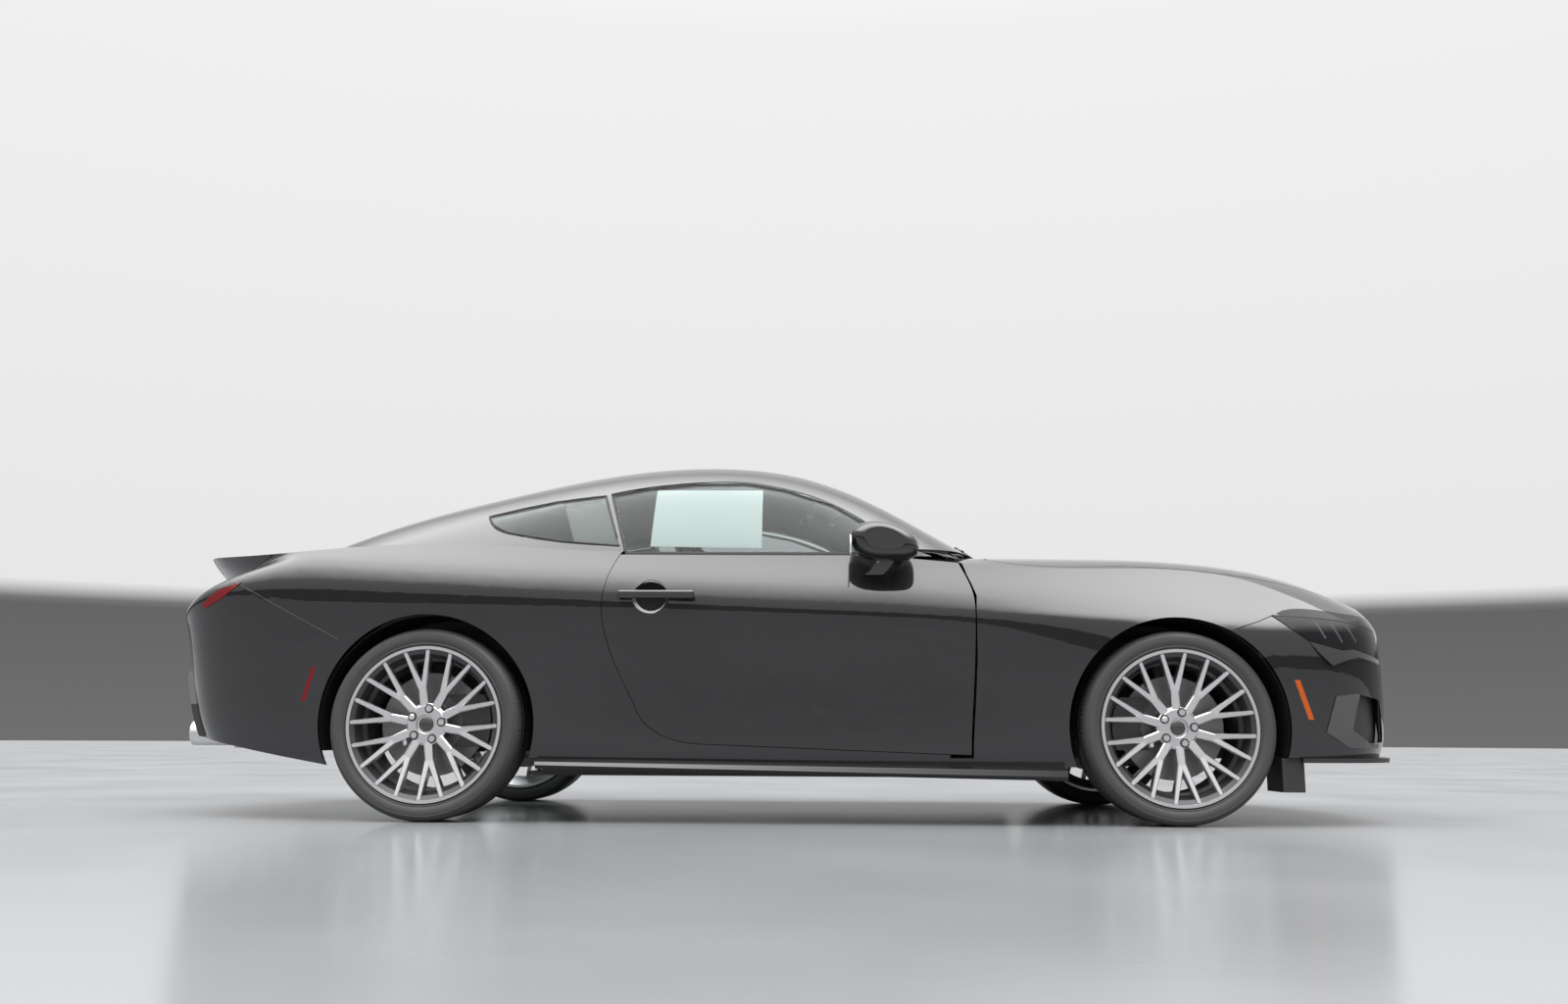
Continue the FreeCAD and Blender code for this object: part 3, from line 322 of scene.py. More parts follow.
def bar(form, angle, ends, hand=1):
    """A tapered bar of the wheel's face between two ends, with a flat top and bevelled sides."""
    start, end = [face_point(radius, angle + hand * turn, outward) for radius, turn, outward, *size in ends]
    along = (end - start).normalized()
    across = along.cross(Vector((0, 1, 0))).normalized()
    edges = []
    for centre, (*place, width, depth) in zip((start, end), ends):
        verts = [form.verts.new(centre + across * width * half + Vector((0, depth * down, 0)))
                 for half, down in BAR_SECTION]
        edges += closed_loop(form, verts)
        form.faces.new(verts)
    bmesh.ops.bridge_loops(form, edges=edges)


def spokes_form():
    form = bmesh.new()
    for index in range(SPOKES):
        angle = index * 360 / SPOKES
        bar(form, angle, STEM)
        bar(form, angle, PRONG, -1)
        bar(form, angle, PRONG)
    bmesh.ops.recalc_face_normals(form, faces=form.faces)
    return form


def well_shade_form():
    """Painted shade: a dark ring over the rim's well, where the slope from the lip to the barrel lies in
    shadow, and a dark ring round each nut for the shade of its recess.
    """
    form = bmesh.new()
    spin_section(form, WELL_SHADE_SECTION, Vector((0, 0, 0)), WELL_STEPS)
    for turn in NUT_TURNS:
        spin_section(form, POCKET_SHADE_SECTION, face_point(NUT_CIRCLE_R, turn, 0), POCKET_STEPS)
    bmesh.ops.recalc_face_normals(form, faces=form.faces)
    return form


def nuts_form():
    """Five six-sided nuts with rounded crowns."""
    form = bmesh.new()
    for turn in NUT_TURNS:
        nut = bmesh.ops.create_cone(form, cap_ends=True, segments=6, radius1=NUT_R, radius2=NUT_R * NUT_TAPER,
                                    depth=NUT_TOP - NUT_FOOT)["verts"]
        crown = [vert for vert in nut if vert.co.z > 0]
        edges = list({edge for vert in crown for edge in vert.link_edges})
        bmesh.ops.bevel(form, geom=crown + edges, offset=NUT_ROUND, segments=3, profile=0.5, affect="EDGES",
                        material=-1)
        nut = [vert for vert in form.verts if not vert.tag]
        lean(form, nut, "X", 90)
        bmesh.ops.translate(form, verts=nut, vec=face_point(NUT_CIRCLE_R, turn, (NUT_FOOT + NUT_TOP) / 2))
        for vert in form.verts:
            vert.tag = True
    return form


def cap_form():
    """The low dome of the hub's cap."""
    form = bmesh.new()
    bmesh.ops.create_uvsphere(form, u_segments=32, v_segments=16, radius=CAP_R)
    bmesh.ops.bisect_plane(form, geom=form.verts[:] + form.edges[:] + form.faces[:], plane_co=(0, 0, 0),
                           plane_no=(0, 0, -1), clear_outer=True)
    bmesh.ops.holes_fill(form, edges=[edge for edge in form.edges if edge.is_boundary], sides=0)
    bmesh.ops.scale(form, vec=(1, 1, CAP_DOME / CAP_R), verts=form.verts)
    lean(form, form.verts, "X", 90)
    bmesh.ops.translate(form, vec=(0, -CAP_FACE, 0), verts=form.verts)
    return form


def silver_pattern(place):
    return {"Roughness": noise(place, 1800, 1) * 0.16 + 0.24}


def turned_pattern(place):
    return {"Roughness": noise(place, 300, 3) * 0.2 + 0.3}


wheel_silver = finish("wheel silver", {
    "Base Color": (0.66, 0.66, 0.67), "Metallic": 1.0, "Coat Weight": 0.7, "Coat Roughness": 0.04,
}, silver_pattern)
disc_steel = finish("disc steel", {"Base Color": (0.22, 0.22, 0.22), "Metallic": 1.0}, turned_pattern)
# A dark grey for the well ring and the nut rings: painted shade where the rim's slope and the nut recesses
# lie in shadow.
well_painted_shade = finish("wheel well painted shade", {"Base Color": (0.05, 0.05, 0.052), "Metallic": 0.6}, turned_pattern)
chrome = finish("chrome", {"Base Color": (0.75, 0.75, 0.76), "Metallic": 1.0}, silver_pattern)
cap_black = finish("cap black", {"Base Color": (0.012, 0.012, 0.013), "Coat Weight": 1.0}, grain_pattern)

for corner in HUBS:
    for side in SIDES:
        place = corner + "_" + side
        dress(wheel_silver, "rim_" + place)
        dress(disc_steel, "brake_disc_" + place)
        for part, slot, material, form, sharp in (
            ("wheel_spokes_", "wheel_silver", wheel_silver, spokes_form(), 20),
            ("wheel_well_painted_shade_", "wheel_silver", well_painted_shade, well_shade_form(), 35),
            ("wheel_nuts_", "steel", chrome, nuts_form(), 35),
            ("wheel_cap_", "lamp_smoked", cap_black, cap_form(), 35),
        ):
            to_hub(form, corner, side)
            add_piece(part + place, "wheel_" + place, material, form, sharp)


# The tyres: low road tyres of black rubber, moulded with four grooves, cut shoulder blocks and a rim guard,
# and seated on the rims. A section gives radius and half width, from the bead to the shoulder.
TYRE_STEPS = 128
TYRE_R = 0.3465
TYRE_SECTION = (
    (0.2590, 0.1130), (0.2740, 0.1155), (0.2830, 0.1175), (0.2868, 0.1240), (0.2900, 0.1262),
    (0.2935, 0.1250), (0.2960, 0.1268), (0.3060, 0.1296), (0.3160, 0.1306), (0.3240, 0.1290),
    (0.3255, 0.1296), (0.3290, 0.1270), (0.3360, 0.1215), (0.3400, 0.1160), (0.3432, 0.1100),
)
TREAD_EDGES = (0.1010, 0.0800, 0.0700, 0.0380, 0.0280)
TREAD_CROWN = 0.0012
GROOVE_DEPTH = 0.0068
GROOVE_SLOPE = 0.0012
SIPED_ROWS = ((0.0800, 0.1160), (0.0380, 0.0700))
SIPE_HALF = 0.0018
SIPE_SHARE = 0.7
TREAD_BAND = 0.004


def tyre_pattern(place):
    return {
        "Roughness": noise(place, 14, 4) * 0.22 + 0.5,
        "Normal": noise(place, 700, 2).bump(0.3, 0.0003),
    }


def tyre_form():
    """A tyre about its hub: the section is spun round, then sipes are sunk into the tread's blocks."""
    outer = list(TYRE_SECTION)
    for index, w in enumerate(TREAD_EDGES):
        r = TYRE_R - TREAD_CROWN * (w / TREAD_EDGES[0]) ** 2
        if index in (1, 3):
            outer += [(r, w), (r - GROOVE_DEPTH, w - GROOVE_SLOPE)]
        elif index in (2, 4):
            outer += [(r - GROOVE_DEPTH, w + GROOVE_SLOPE), (r, w)]
        else:
            outer.append((r, w))
    form = bmesh.new()
    spin_section(form, [(r, -w) for r, w in outer] + outer[::-1], Vector((0, 0, 0)), TYRE_STEPS)
    bmesh.ops.recalc_face_normals(form, faces=form.faces)
    step = math.tau * TYRE_R / TYRE_STEPS
    for low, high in SIPED_ROWS:
        blocks = []
        for face in form.faces:
            middle = face.calc_center_median()
            if low < abs(middle.y) < high and middle.x ** 2 + middle.z ** 2 > (TYRE_R - TREAD_BAND) ** 2:
                blocks.append(face)
        bmesh.ops.inset_individual(form, faces=blocks, thickness=step / 2 - SIPE_HALF, depth=0,
                                   use_even_offset=True)
        for face in blocks:
            for vert in face.verts:
                out = Vector((vert.co.x, 0, vert.co.z)).normalized()
                vert.co -= out * GROOVE_DEPTH * SIPE_SHARE
    return form


tyre_rubber = finish("tyre rubber", {"Base Color": (0.034, 0.034, 0.034)}, tyre_pattern)
for corner in HUBS:
    for side in SIDES:
        place = corner + "_" + side
        form = tyre_form()
        to_hub(form, corner, side)
        add_piece("road_tyre_" + place, "wheel_" + place, tyre_rubber, form, 30,
                  ("tyre_" + place,))


# The lamps and the exhaust: smoked headlamp covers, ribbed red tail lenses and amber side markers, moulded in
# glossy plastic and screwed to the bumpers, and bright steel tips welded to the exhaust.
def ribbed_pattern(place):
    ribs = place.node("TexWave", {"bands_direction": "Z", "wave_profile": "SIN"},
                      {"Vector": place, "Scale": 60, "Distortion": 0.0})
    return {"Normal": ribs.bump(0.4, 0.0008)}


def smoke_pattern(place):
    return {"Roughness": noise(place, 40, 2) * 0.06 + 0.05}


smoked = finish("smoked lens", {
    "Base Color": (0.006, 0.006, 0.007), "Specular IOR Level": 0.16,
}, smoke_pattern)
red_lens = finish("red lens", {
    "Base Color": (0.13, 0.004, 0.006), "Roughness": 0.1, "Specular IOR Level": 0.3,
}, ribbed_pattern)
amber_lens = finish("amber lens", {
    "Base Color": (0.42, 0.075, 0.008), "Roughness": 0.1, "Specular IOR Level": 0.3,
}, ribbed_pattern)
bright_steel = finish("bright steel", {"Base Color": (0.6, 0.6, 0.6), "Metallic": 1.0}, turned_pattern)
dress(smoked, "headlamps")
dress(red_lens, "tail_lamps")
dress(amber_lens, "front_markers")
dress(bright_steel, "exhaust")


# The trim of the body side: rubber seals round the panes, a polished belt moulding on each door and black
# printed borders on the quarter glasses, all stuck or clipped to what is beneath. Lines and outlines of the
# side view are given as (x, z).
SKIN_START = 1.4
STEP = 0.02
DOME_EDGE = 0.8
DOME_RISE = 0.7
DOOR_PANE_TOP = (
    (-0.586, 0.980), (-0.664, 1.222), (-0.525, 1.251), (-0.345, 1.271), (-0.150, 1.274), (-0.002, 1.247),
    (0.182, 1.184), (0.325, 1.094), (0.462, 1.004),
)
QUARTER_PANE = (
    (-0.617, 1.010), (-0.692, 1.222), (-0.885, 1.196), (-1.132, 1.134), (-1.110, 1.096), (-1.045, 1.062),
    (-0.835, 1.026), (-0.617, 1.010),
)
PANE_SEAL = {"width": 0.011, "lift": 0.002, "depth": 0.004}
BELT_LINE = ((-0.590, 0.981), (-0.300, 0.981), (0.100, 0.981), (0.455, 0.985))
BELT = {"width": 0.014, "lift": 0.004, "depth": 0.004}
QUARTER_BORDER = ((-0.622, 1.014), (-0.688, 1.214), (-0.850, 1.192), (-0.790, 1.030))
BORDER = {"lift": -0.006, "depth": 0.002}


def first_hit(names, start, direction):
    """Where a ray from a point first meets one of the named nodes, or None."""
    best = None
    for name in names:
        hit, place, normal, index = node[name].ray_cast(start, Vector(direction))
        if hit and (best is None or (place - start).length < (best - start).length):
            best = place.copy()
    return best


def skin_y(names, x, z, side):
    """How far out the surface of the named nodes lies at a place of the side view, or None."""
    place = first_hit(names, Vector((x, side * SKIN_START, z)), (0, -side, 0))
    return None if place is None else place.y


def skin_values(spots, names, side):
    """The skin's y at each spot (x, z); a spot beside the skin takes that of the nearest spot on it."""
    found = [(Vector(spot), skin_y(names, *spot, side)) for spot in spots]
    known = [(spot, y) for spot, y in found if y is not None]
    return [min(known, key=lambda other: (other[0] - spot).length)[1] for spot, y in found]


def thicken(form, shift):
    """Makes a plate of a sheet, whose other face lies shifted."""
    grown = bmesh.ops.extrude_face_region(form, geom=form.faces[:])
    moved = [item for item in grown["geom"] if isinstance(item, bmesh.types.BMVert)]
    bmesh.ops.translate(form, vec=shift, verts=moved)
    bmesh.ops.recalc_face_normals(form, faces=form.faces)


def plate_form(outline, names, side, lift, depth):
    """A thin plate with an outline that follows the skin of nodes; its lift may depend on the height."""
    form = bmesh.new()
    form.faces.new([form.verts.new((x, 0, z)) for x, z in outline])
    for axis, normal in ((0, (1, 0, 0)), (2, (0, 0, 1))):
        places = [vert.co[axis] for vert in form.verts]
        low, high = min(places), max(places)
        for index in range(1, math.ceil((high - low) / STEP)):
            middle = Vector(normal) * (low + index * STEP)
            bmesh.ops.bisect_plane(form, geom=form.verts[:] + form.edges[:] + form.faces[:], plane_co=middle,
                                   plane_no=normal)
    skins = skin_values([(vert.co.x, vert.co.z) for vert in form.verts], names, side)
    for vert, y in zip(form.verts, skins):
        vert.co.y = y + side * (lift(vert.co.z) if callable(lift) else lift)
    thicken(form, (0, -side * depth, 0))
    return form


def strip_form(line, names, side, width, lift, depth):
    """A narrow strip of even width and domed section along a line on the skin of nodes."""
    points = [Vector(place) for place in line]
    fine = []
    for start, end in zip(points, points[1:]):
        count = max(1, math.ceil((end - start).length / STEP))
        fine += [start.lerp(end, index / count) for index in range(count)]
    fine.append(points[-1])
    shoulder = lift * DOME_RISE
    section = ((-1, -depth), (-DOME_EDGE, shoulder), (0, lift), (DOME_EDGE, shoulder), (1, -depth))
    form = bmesh.new()
    rows = []
    for index, (point, y) in enumerate(zip(fine, skin_values(fine, names, side))):
        before, after = fine[max(index - 1, 0)], fine[min(index + 1, len(fine) - 1)]
        across = Vector((after - before).normalized().orthogonal()) * (width / 2)
        row = []
        for turn, rise in section:
            spot = point + across * turn
            row.append(form.verts.new((spot.x, y + side * rise, spot.y)))
        rows.append(row)
    for first, second in zip(rows, rows[1:]):
        for index in range(len(first)):
            following = (index + 1) % len(first)
            form.faces.new((first[index], first[following], second[following], second[index]))
    form.faces.new(rows[0])
    form.faces.new(list(reversed(rows[-1])))
    bmesh.ops.recalc_face_normals(form, faces=form.faces)
    return form


# Black rubber for the seals and the headlamps' gaps; the same finish lays painted shade along the crease
# behind each headlamp.
seal_rubber_and_crease_shade = finish("seal rubber and crease shade", {"Base Color": (0.012, 0.012, 0.012)}, tyre_pattern)
belt_gloss = finish("belt gloss", {"Base Color": (0.05, 0.05, 0.052), "Coat Weight": 1.0, "Roughness": 0.3})
for name, side in SIDES.items():
    form = strip_form(DOOR_PANE_TOP, ("pillar_frame_" + name, "door_glass_" + name), side, **PANE_SEAL)
    add_piece("door_pane_seal_" + name, "root", seal_rubber_and_crease_shade, form)
    form = strip_form(QUARTER_PANE, ("pillar_frame_" + name, "quarter_glasses"), side, **PANE_SEAL)
    add_piece("quarter_pane_seal_" + name, "root", seal_rubber_and_crease_shade, form)
    form = strip_form(BELT_LINE, ("door_glass_" + name, "door_" + name), side, **BELT)
    add_piece("belt_moulding_" + name, "door_body_" + name, belt_gloss, form)
    form = plate_form(QUARTER_BORDER, ("quarter_glasses",), side, **BORDER)
    add_piece("quarter_border_" + name, "root", cap_black, form)


# The corner intakes of the front bumper: a satin black frame below and beside each mesh, and a moulded duct
# that runs from the bumper's skin back to the mesh. Both are clipped into the bumper.
INTAKE_FRAME = (
    (1.990, 0.462), (2.074, 0.472), (2.084, 0.468), (2.052, 0.342), (2.130, 0.297), (2.180, 0.292),
    (2.180, 0.280), (2.102, 0.278), (2.037, 0.279), (1.948, 0.334),
)
INTAKE_HOLE = ((2.078, 0.478), (2.190, 0.462), (2.205, 0.294), (2.127, 0.288), (2.045, 0.336))
INTAKE_RIM = {"lift": 0.004, "depth": 0.008}
INTAKE_DEPTH = 0.706
DUCT = {"inset": 0.004, "least": 0.003, "wall": 0.003}


def duct_form(side):
    """The walls of an intake, from just inside the bumper's skin back to the mesh."""
    form = bmesh.new()
    fronts = []
    for x, z in INTAKE_HOLE:
        y = skin_y(("front_bumper",), x, z, side) or 0
        fronts.append(max(y * side - DUCT["inset"], INTAKE_DEPTH + DUCT["least"]))
    edges = []
    for reaches in (fronts, [INTAKE_DEPTH] * len(fronts)):
        verts = [form.verts.new((x, side * reach, z)) for (x, z), reach in zip(INTAKE_HOLE, reaches)]
        edges += closed_loop(form, verts)
    bmesh.ops.bridge_loops(form, edges=edges)
    bmesh.ops.recalc_face_normals(form, faces=form.faces)
    bmesh.ops.solidify(form, geom=form.faces[:], thickness=DUCT["wall"])
    bmesh.ops.recalc_face_normals(form, faces=form.faces)
    return form


satin_plastic = finish("satin plastic", {
    "Base Color": (0.045, 0.045, 0.047), "Coat Weight": 0.3,
}, tyre_pattern)
for name, side in SIDES.items():
    form = plate_form(INTAKE_FRAME, ("front_bumper",), side, **INTAKE_RIM)
    add_piece("intake_frame_" + name, "root", satin_plastic, form)
    add_piece("intake_duct_" + name, "root", black_plastic, duct_form(side))


# The headlamps' fronts: a smoked lens below the hood's edge with three pale light bars in it, the dark gap
# over it, a dark strip of painted shade that carries the gap's line back along the crease to the arch, and
# the folded ledge below, all clipped to the bumper. The ledge stands out more towards its foot.
LAMP_TOP = ((1.778, 0.751), (1.900, 0.745), (2.020, 0.736), (2.120, 0.722), (2.188, 0.703))
LAMP_LOW = ((2.203, 0.600), (2.163, 0.611), (2.078, 0.632), (2.025, 0.627), (1.898, 0.658), (1.828, 0.708))
LAMP_LENS = {"lift": 0.003, "depth": 0.007}
LAMP_GAP = {"width": 0.007, "lift": 0.0045, "depth": 0.004}
LAMP_CREASE = ((1.637, 0.701), (1.721, 0.727), (1.778, 0.751))
CREASE = {"width": 0.004, "lift": 0.0012, "depth": 0.003}
LAMP_BARS = (
    ((1.930, 0.728), (1.960, 0.668)), ((1.990, 0.724), (2.025, 0.654)), ((2.050, 0.718), (2.085, 0.656)),
)
LIGHT_BAR = {"width": 0.011, "lift": 0.0042, "depth": 0.002}
LEDGE = (
    (1.898, 0.655), (2.025, 0.624), (2.078, 0.629), (2.163, 0.608), (2.203, 0.596), (2.203, 0.582),
    (2.082, 0.603), (2.026, 0.587), (1.977, 0.570), (1.935, 0.610),
)
LEDGE_FALL = {"low": 0.570, "high": 0.660, "least": 0.001, "proud": 0.014}
LEDGE_DEPTH = 0.012


def ledge_lift(z):
    share = LEDGE_FALL["proud"] * (LEDGE_FALL["high"] - z) / (LEDGE_FALL["high"] - LEDGE_FALL["low"])
    return LEDGE_FALL["least"] + share


# A dark grey for the headlamps' light bars, also used as a painted highlight along the bumper's gap at the
# tail.
lamp_bar_and_gap_highlight = finish("lamp bar and gap highlight", {
    "Base Color": (0.05, 0.052, 0.055), "Specular IOR Level": 0.3,
}, tyre_pattern)
for name, side in SIDES.items():
    skin = ("headlamps", "front_bumper", "hood", "front_fender_" + name)
    form = plate_form(LAMP_TOP + LAMP_LOW, skin, side, **LAMP_LENS)
    add_piece("headlamp_lens_" + name, "root", smoked, form)
    form = strip_form(LAMP_TOP, skin, side, **LAMP_GAP)
    add_piece("headlamp_gap_" + name, "root", seal_rubber_and_crease_shade, form)
    # Painted shade: a dark matte strip along the crease behind the lamp.
    form = strip_form(LAMP_CREASE, skin, side, **CREASE)
    add_piece("headlamp_crease_shade_" + name, "root", seal_rubber_and_crease_shade, form)
    for index, line in enumerate(LAMP_BARS):
        form = strip_form(line, skin, side, **LIGHT_BAR)
        add_piece("headlamp_bar_" + name + "_" + str(index), "root", lamp_bar_and_gap_highlight, form)
    form = plate_form(LEDGE, skin, side, ledge_lift, LEDGE_DEPTH)
    add_piece("headlamp_ledge_" + name, "root", body_paint, form)


# The tail's corners: the end of each tail lamp wraps round the quarter panel as a red lens, and a fine strip
# runs from it down to the arch along the gap where the bumper's skin is clipped to the quarter panel. The
# strip's grey, lighter than the paint, is a painted highlight on the gap's edge.
TAIL_CORNER = (
    (-2.010, 0.862), (-2.090, 0.842), (-2.150, 0.806), (-2.180, 0.776), (-2.150, 0.772), (-2.080, 0.808),
)
TAIL_LENS = {"lift": 0.003, "depth": 0.006}
TAIL_GAP = ((-2.015, 0.856), (-1.870, 0.778), (-1.730, 0.706), (-1.625, 0.652))
GAP = {"width": 0.0035, "lift": 0.0014, "depth": 0.003}
for name, side in SIDES.items():
    skin = ("quarter_panel_" + name, "rear_bumper")
    form = plate_form(TAIL_CORNER, skin, side, **TAIL_LENS)
    add_piece("tail_lamp_corner_" + name, "root", red_lens, form)
    # Painted highlight: a lighter grey strip along the bumper's gap.
    form = strip_form(TAIL_GAP, skin, side, **GAP)
    add_piece("bumper_gap_highlight_" + name, "root", lamp_bar_and_gap_highlight, form)


# The cup behind each door's handle: a round, shallow, near-black matte sheet laid just over the door's skin
# in the cup and carried by the door. It is painted shade that keeps the recess dark and dulls the highlight
# it would catch.
CUP_PLACE = (-0.482, 0.817)
CUP_R = 0.0575
CUP = {"lift": 0.0008, "depth": 0.0012}
CUP_TURNS = range(0, 360, 15)
CUP_OUTLINE = [
    (CUP_PLACE[0] + CUP_R * math.cos(math.radians(turn)), CUP_PLACE[1] + CUP_R * math.sin(math.radians(turn)))
    for turn in CUP_TURNS
]
# Near-black and barely reflective: painted shade for the cup's recess.
cup_painted_shade = finish("cup painted shade", {
    "Base Color": (0.004, 0.004, 0.004), "Specular IOR Level": 0.08,
}, tyre_pattern)
for name, side in SIDES.items():
    form = plate_form(CUP_OUTLINE, ("door_" + name,), side, **CUP)
    add_piece("handle_cup_shade_" + name, "door_body_" + name, cup_painted_shade, form)


# The price sheet: a plain pale sheet of paper with nothing on it, cut square and stuck to the inner face of
# the right door's pane.
PRICE_SHEET = ((-0.500, 1.010), (-0.494, 1.248), (-0.084, 1.248), (-0.082, 1.004))
SHEET = {"lift": -0.0065, "depth": 0.0004}


def paper_pattern(place):
    return {"Roughness": noise(place, 300, 3) * 0.1 + 0.6, "Normal": noise(place, 9, 2).bump(0.2, 0.002)}


paper = finish("pale paper", {"Base Color": (0.82, 0.86, 0.85)}, paper_pattern)
form = plate_form(PRICE_SHEET, ("door_glass_right",), SIDES["right"], **SHEET)
add_piece("price_sheet", "door_body_right", paper, form)


# The headlining: grey knitted cloth glued to a moulded board, which is clipped up under the roof between the
# pillars and follows its curve.
HEADLINING = {"x": (-1.05, 0.20), "half_y": 0.52, "below": 0.9, "drop": 0.006, "thick": 0.004}
HEADLINING_GRID = (40, 24)


def cloth_pattern(place):
    weave = place.node("TexVoronoi", inputs={"Vector": place, "Scale": 700})
    return {"Roughness": noise(place, 20, 3) * 0.1 + 0.8, "Normal": weave.bump(0.4, 0.0005)}


headlining_cloth = finish("headlining cloth", {"Base Color": (0.11, 0.11, 0.115)}, cloth_pattern)
form = bmesh.new()
along, across = HEADLINING_GRID
bmesh.ops.create_grid(form, x_segments=along, y_segments=across, size=0.5)
low, high = HEADLINING["x"]
loose = []
for vert in form.verts:
    vert.co.x = (low + high) / 2 + vert.co.x * (high - low)
    vert.co.y *= 2 * HEADLINING["half_y"]
    start = Vector((vert.co.x, vert.co.y, HEADLINING["below"]))
    under = first_hit(("roof", "pillar_frame_right", "pillar_frame_left"), start, (0, 0, 1))
    if under is None:
        loose.append(vert)
    else:
        vert.co.z = under.z - HEADLINING["drop"]
bmesh.ops.delete(form, geom=loose, context="VERTS")
thicken(form, (0, 0, -HEADLINING["thick"]))
add_piece("headlining", "root", headlining_cloth, form)


# The seats: foam cushions, backs and head restraints covered with stitched black cloth, on frames bolted to
# the floor. Each pad, given by its size, centre and tilt, is a soft form blown out a little by its foam.
PAD_VOXEL = 0.008
PAD_ROUND = 0.32
PAD_PRESSURE = 4.0
PAD_FRAMES = 20
PAD_SWELL = 0.022
FRONT_PADS = {
    "cushion": ((0.44, 0.42, 0.105), (0.070, -0.385, 0.405), -6),
    "back": ((0.095, 0.42, 0.52), (-0.305, -0.385, 0.745), -20),
    "restraint": ((0.055, 0.24, 0.13), (-0.422, -0.385, 1.095), -8),
}
REAR_PADS = {
    "cushion": ((0.24, 0.48, 0.07), (-0.742, -0.295, 0.375), -3),
    "back": ((0.055, 0.48, 0.36), (-0.955, -0.295, 0.600), -18),
}
SEAT_ROWS = (
    ("front", FRONT_PADS, ("seat_right", "seat_left")),
    ("rear", REAR_PADS, ("rear_seat",)),
)


def cover_pattern(place):
    weave = place.node("TexVoronoi", inputs={"Vector": place, "Scale": 520})
    channels = place.node("TexWave", {"bands_direction": "Y", "wave_profile": "SIN"},
                          {"Vector": place, "Scale": 2.6, "Distortion": 0.0})
    relief = weave * 0.15 + channels.maths("POWER", channels, 0.25)
    return {"Roughness": noise(place, 16, 3) * 0.12 + 0.72, "Normal": relief.bump(0.5, 0.004)}


def blow_out(pad):
    """Blows a pad up as cloth, and no further than its swell."""
    still = [vert.co.copy() for vert in pad.data.vertices]
    cloth = pad.modifiers.new("foam", "CLOTH")
    cloth.settings.use_pressure = True
    cloth.settings.uniform_pressure_force = PAD_PRESSURE
    cloth.settings.effector_weights.gravity = 0
    cloth.point_cache.frame_start, cloth.point_cache.frame_end = 1, PAD_FRAMES
    for moment in range(1, PAD_FRAMES + 1):
        bpy.context.scene.frame_set(moment)
    graph = bpy.context.evaluated_depsgraph_get()
    blown = bpy.data.meshes.new_from_object(pad.evaluated_get(graph))
    pad.modifiers.clear()
    for vert, start in zip(blown.vertices, still):
        move = vert.co - start
        if move.length > PAD_SWELL:
            vert.co = start + move.normalized() * PAD_SWELL
    pad.data = blown
    bpy.context.scene.frame_set(1)


def soft_pad(name, size, centre, tilt):
    """A block with round edges, remeshed finely and blown out by its foam."""
    form = bmesh.new()
    bmesh.ops.create_cube(form, size=1)
    bmesh.ops.scale(form, vec=size, verts=form.verts)
    bmesh.ops.bevel(form, geom=form.edges[:], offset=min(size) * PAD_ROUND, segments=4, profile=0.5,
                    affect="EDGES", material=-1)
    lean(form, form.verts, "Y", tilt)
    bmesh.ops.translate(form, vec=centre, verts=form.verts)
    mesh = bpy.data.meshes.new(name)
    form.to_mesh(mesh)
    form.free()
    pad = bpy.data.objects.new(name, mesh)
    bpy.context.scene.collection.objects.link(pad)
    remesh = pad.modifiers.new("even faces", "REMESH")
    remesh.mode = "VOXEL"
    remesh.voxel_size = PAD_VOXEL
    graph = bpy.context.evaluated_depsgraph_get()
    pad.data = bpy.data.meshes.new_from_object(pad.evaluated_get(graph))
    pad.modifiers.clear()
    blow_out(pad)
    return pad


def mirrored_pad(pad, name):
    """The same pad on the other side of the car."""
    twin = bpy.data.objects.new(name, pad.data.copy())
    bpy.context.scene.collection.objects.link(twin)
    form = bmesh.new()
    form.from_mesh(twin.data)
    bmesh.ops.scale(form, vec=(1, -1, 1), verts=form.verts)
    bmesh.ops.recalc_face_normals(form, faces=form.faces)
    form.to_mesh(twin.data)
    form.free()
    return twin


def finish_pad(pad, material, stands_for=()):
    """Smooths a pad, gives it its cover and seats it on the floor's body."""
    pad.data.polygons.foreach_set("use_smooth", [True] * len(pad.data.polygons))
    pad.data.materials.append(material)
    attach(pad, "root")
    if stands_for:
        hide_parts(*stands_for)


seat_cover = finish("seat cover", {"Base Color": (0.018, 0.018, 0.02), "Sheen Weight": 0.2}, cover_pattern)
for row, pads, replaced in SEAT_ROWS:
    for part, (size, centre, tilt) in pads.items():
        start = "seat_" + row + "_" + part
        right = soft_pad(start + "_right", size, centre, tilt)
        left = mirrored_pad(right, start + "_left")
        finish_pad(right, seat_cover, replaced[:1] if part == "cushion" else ())
        finish_pad(left, seat_cover, replaced[1:] if part == "cushion" else ())


# The seats' hard parts: black moulded shells behind the backs, side covers, runners on the floor and the
# chromed stalks of the head restraints, all bolted together.
SEAT_Y = 0.385
SHELL = {"size": (0.035, 0.44, 0.56), "place": (-0.368, -0.385, 0.730), "tilt": -20}
SEAT_BASE = {"size": (0.46, 0.44, 0.11), "place": (0.045, -0.385, 0.300), "tilt": -3}
SHELL_ROUND = 0.016
RUNNER = {"size": (0.52, 0.03, 0.07), "half_gap": 0.17, "place": (0.045, 0.215), "round": 0.006}
STALK = {"r": 0.006, "length": 0.10, "half_gap": 0.06, "place": (-0.400, 1.010), "tilt": -12}
ROUND_SHARE = 0.45


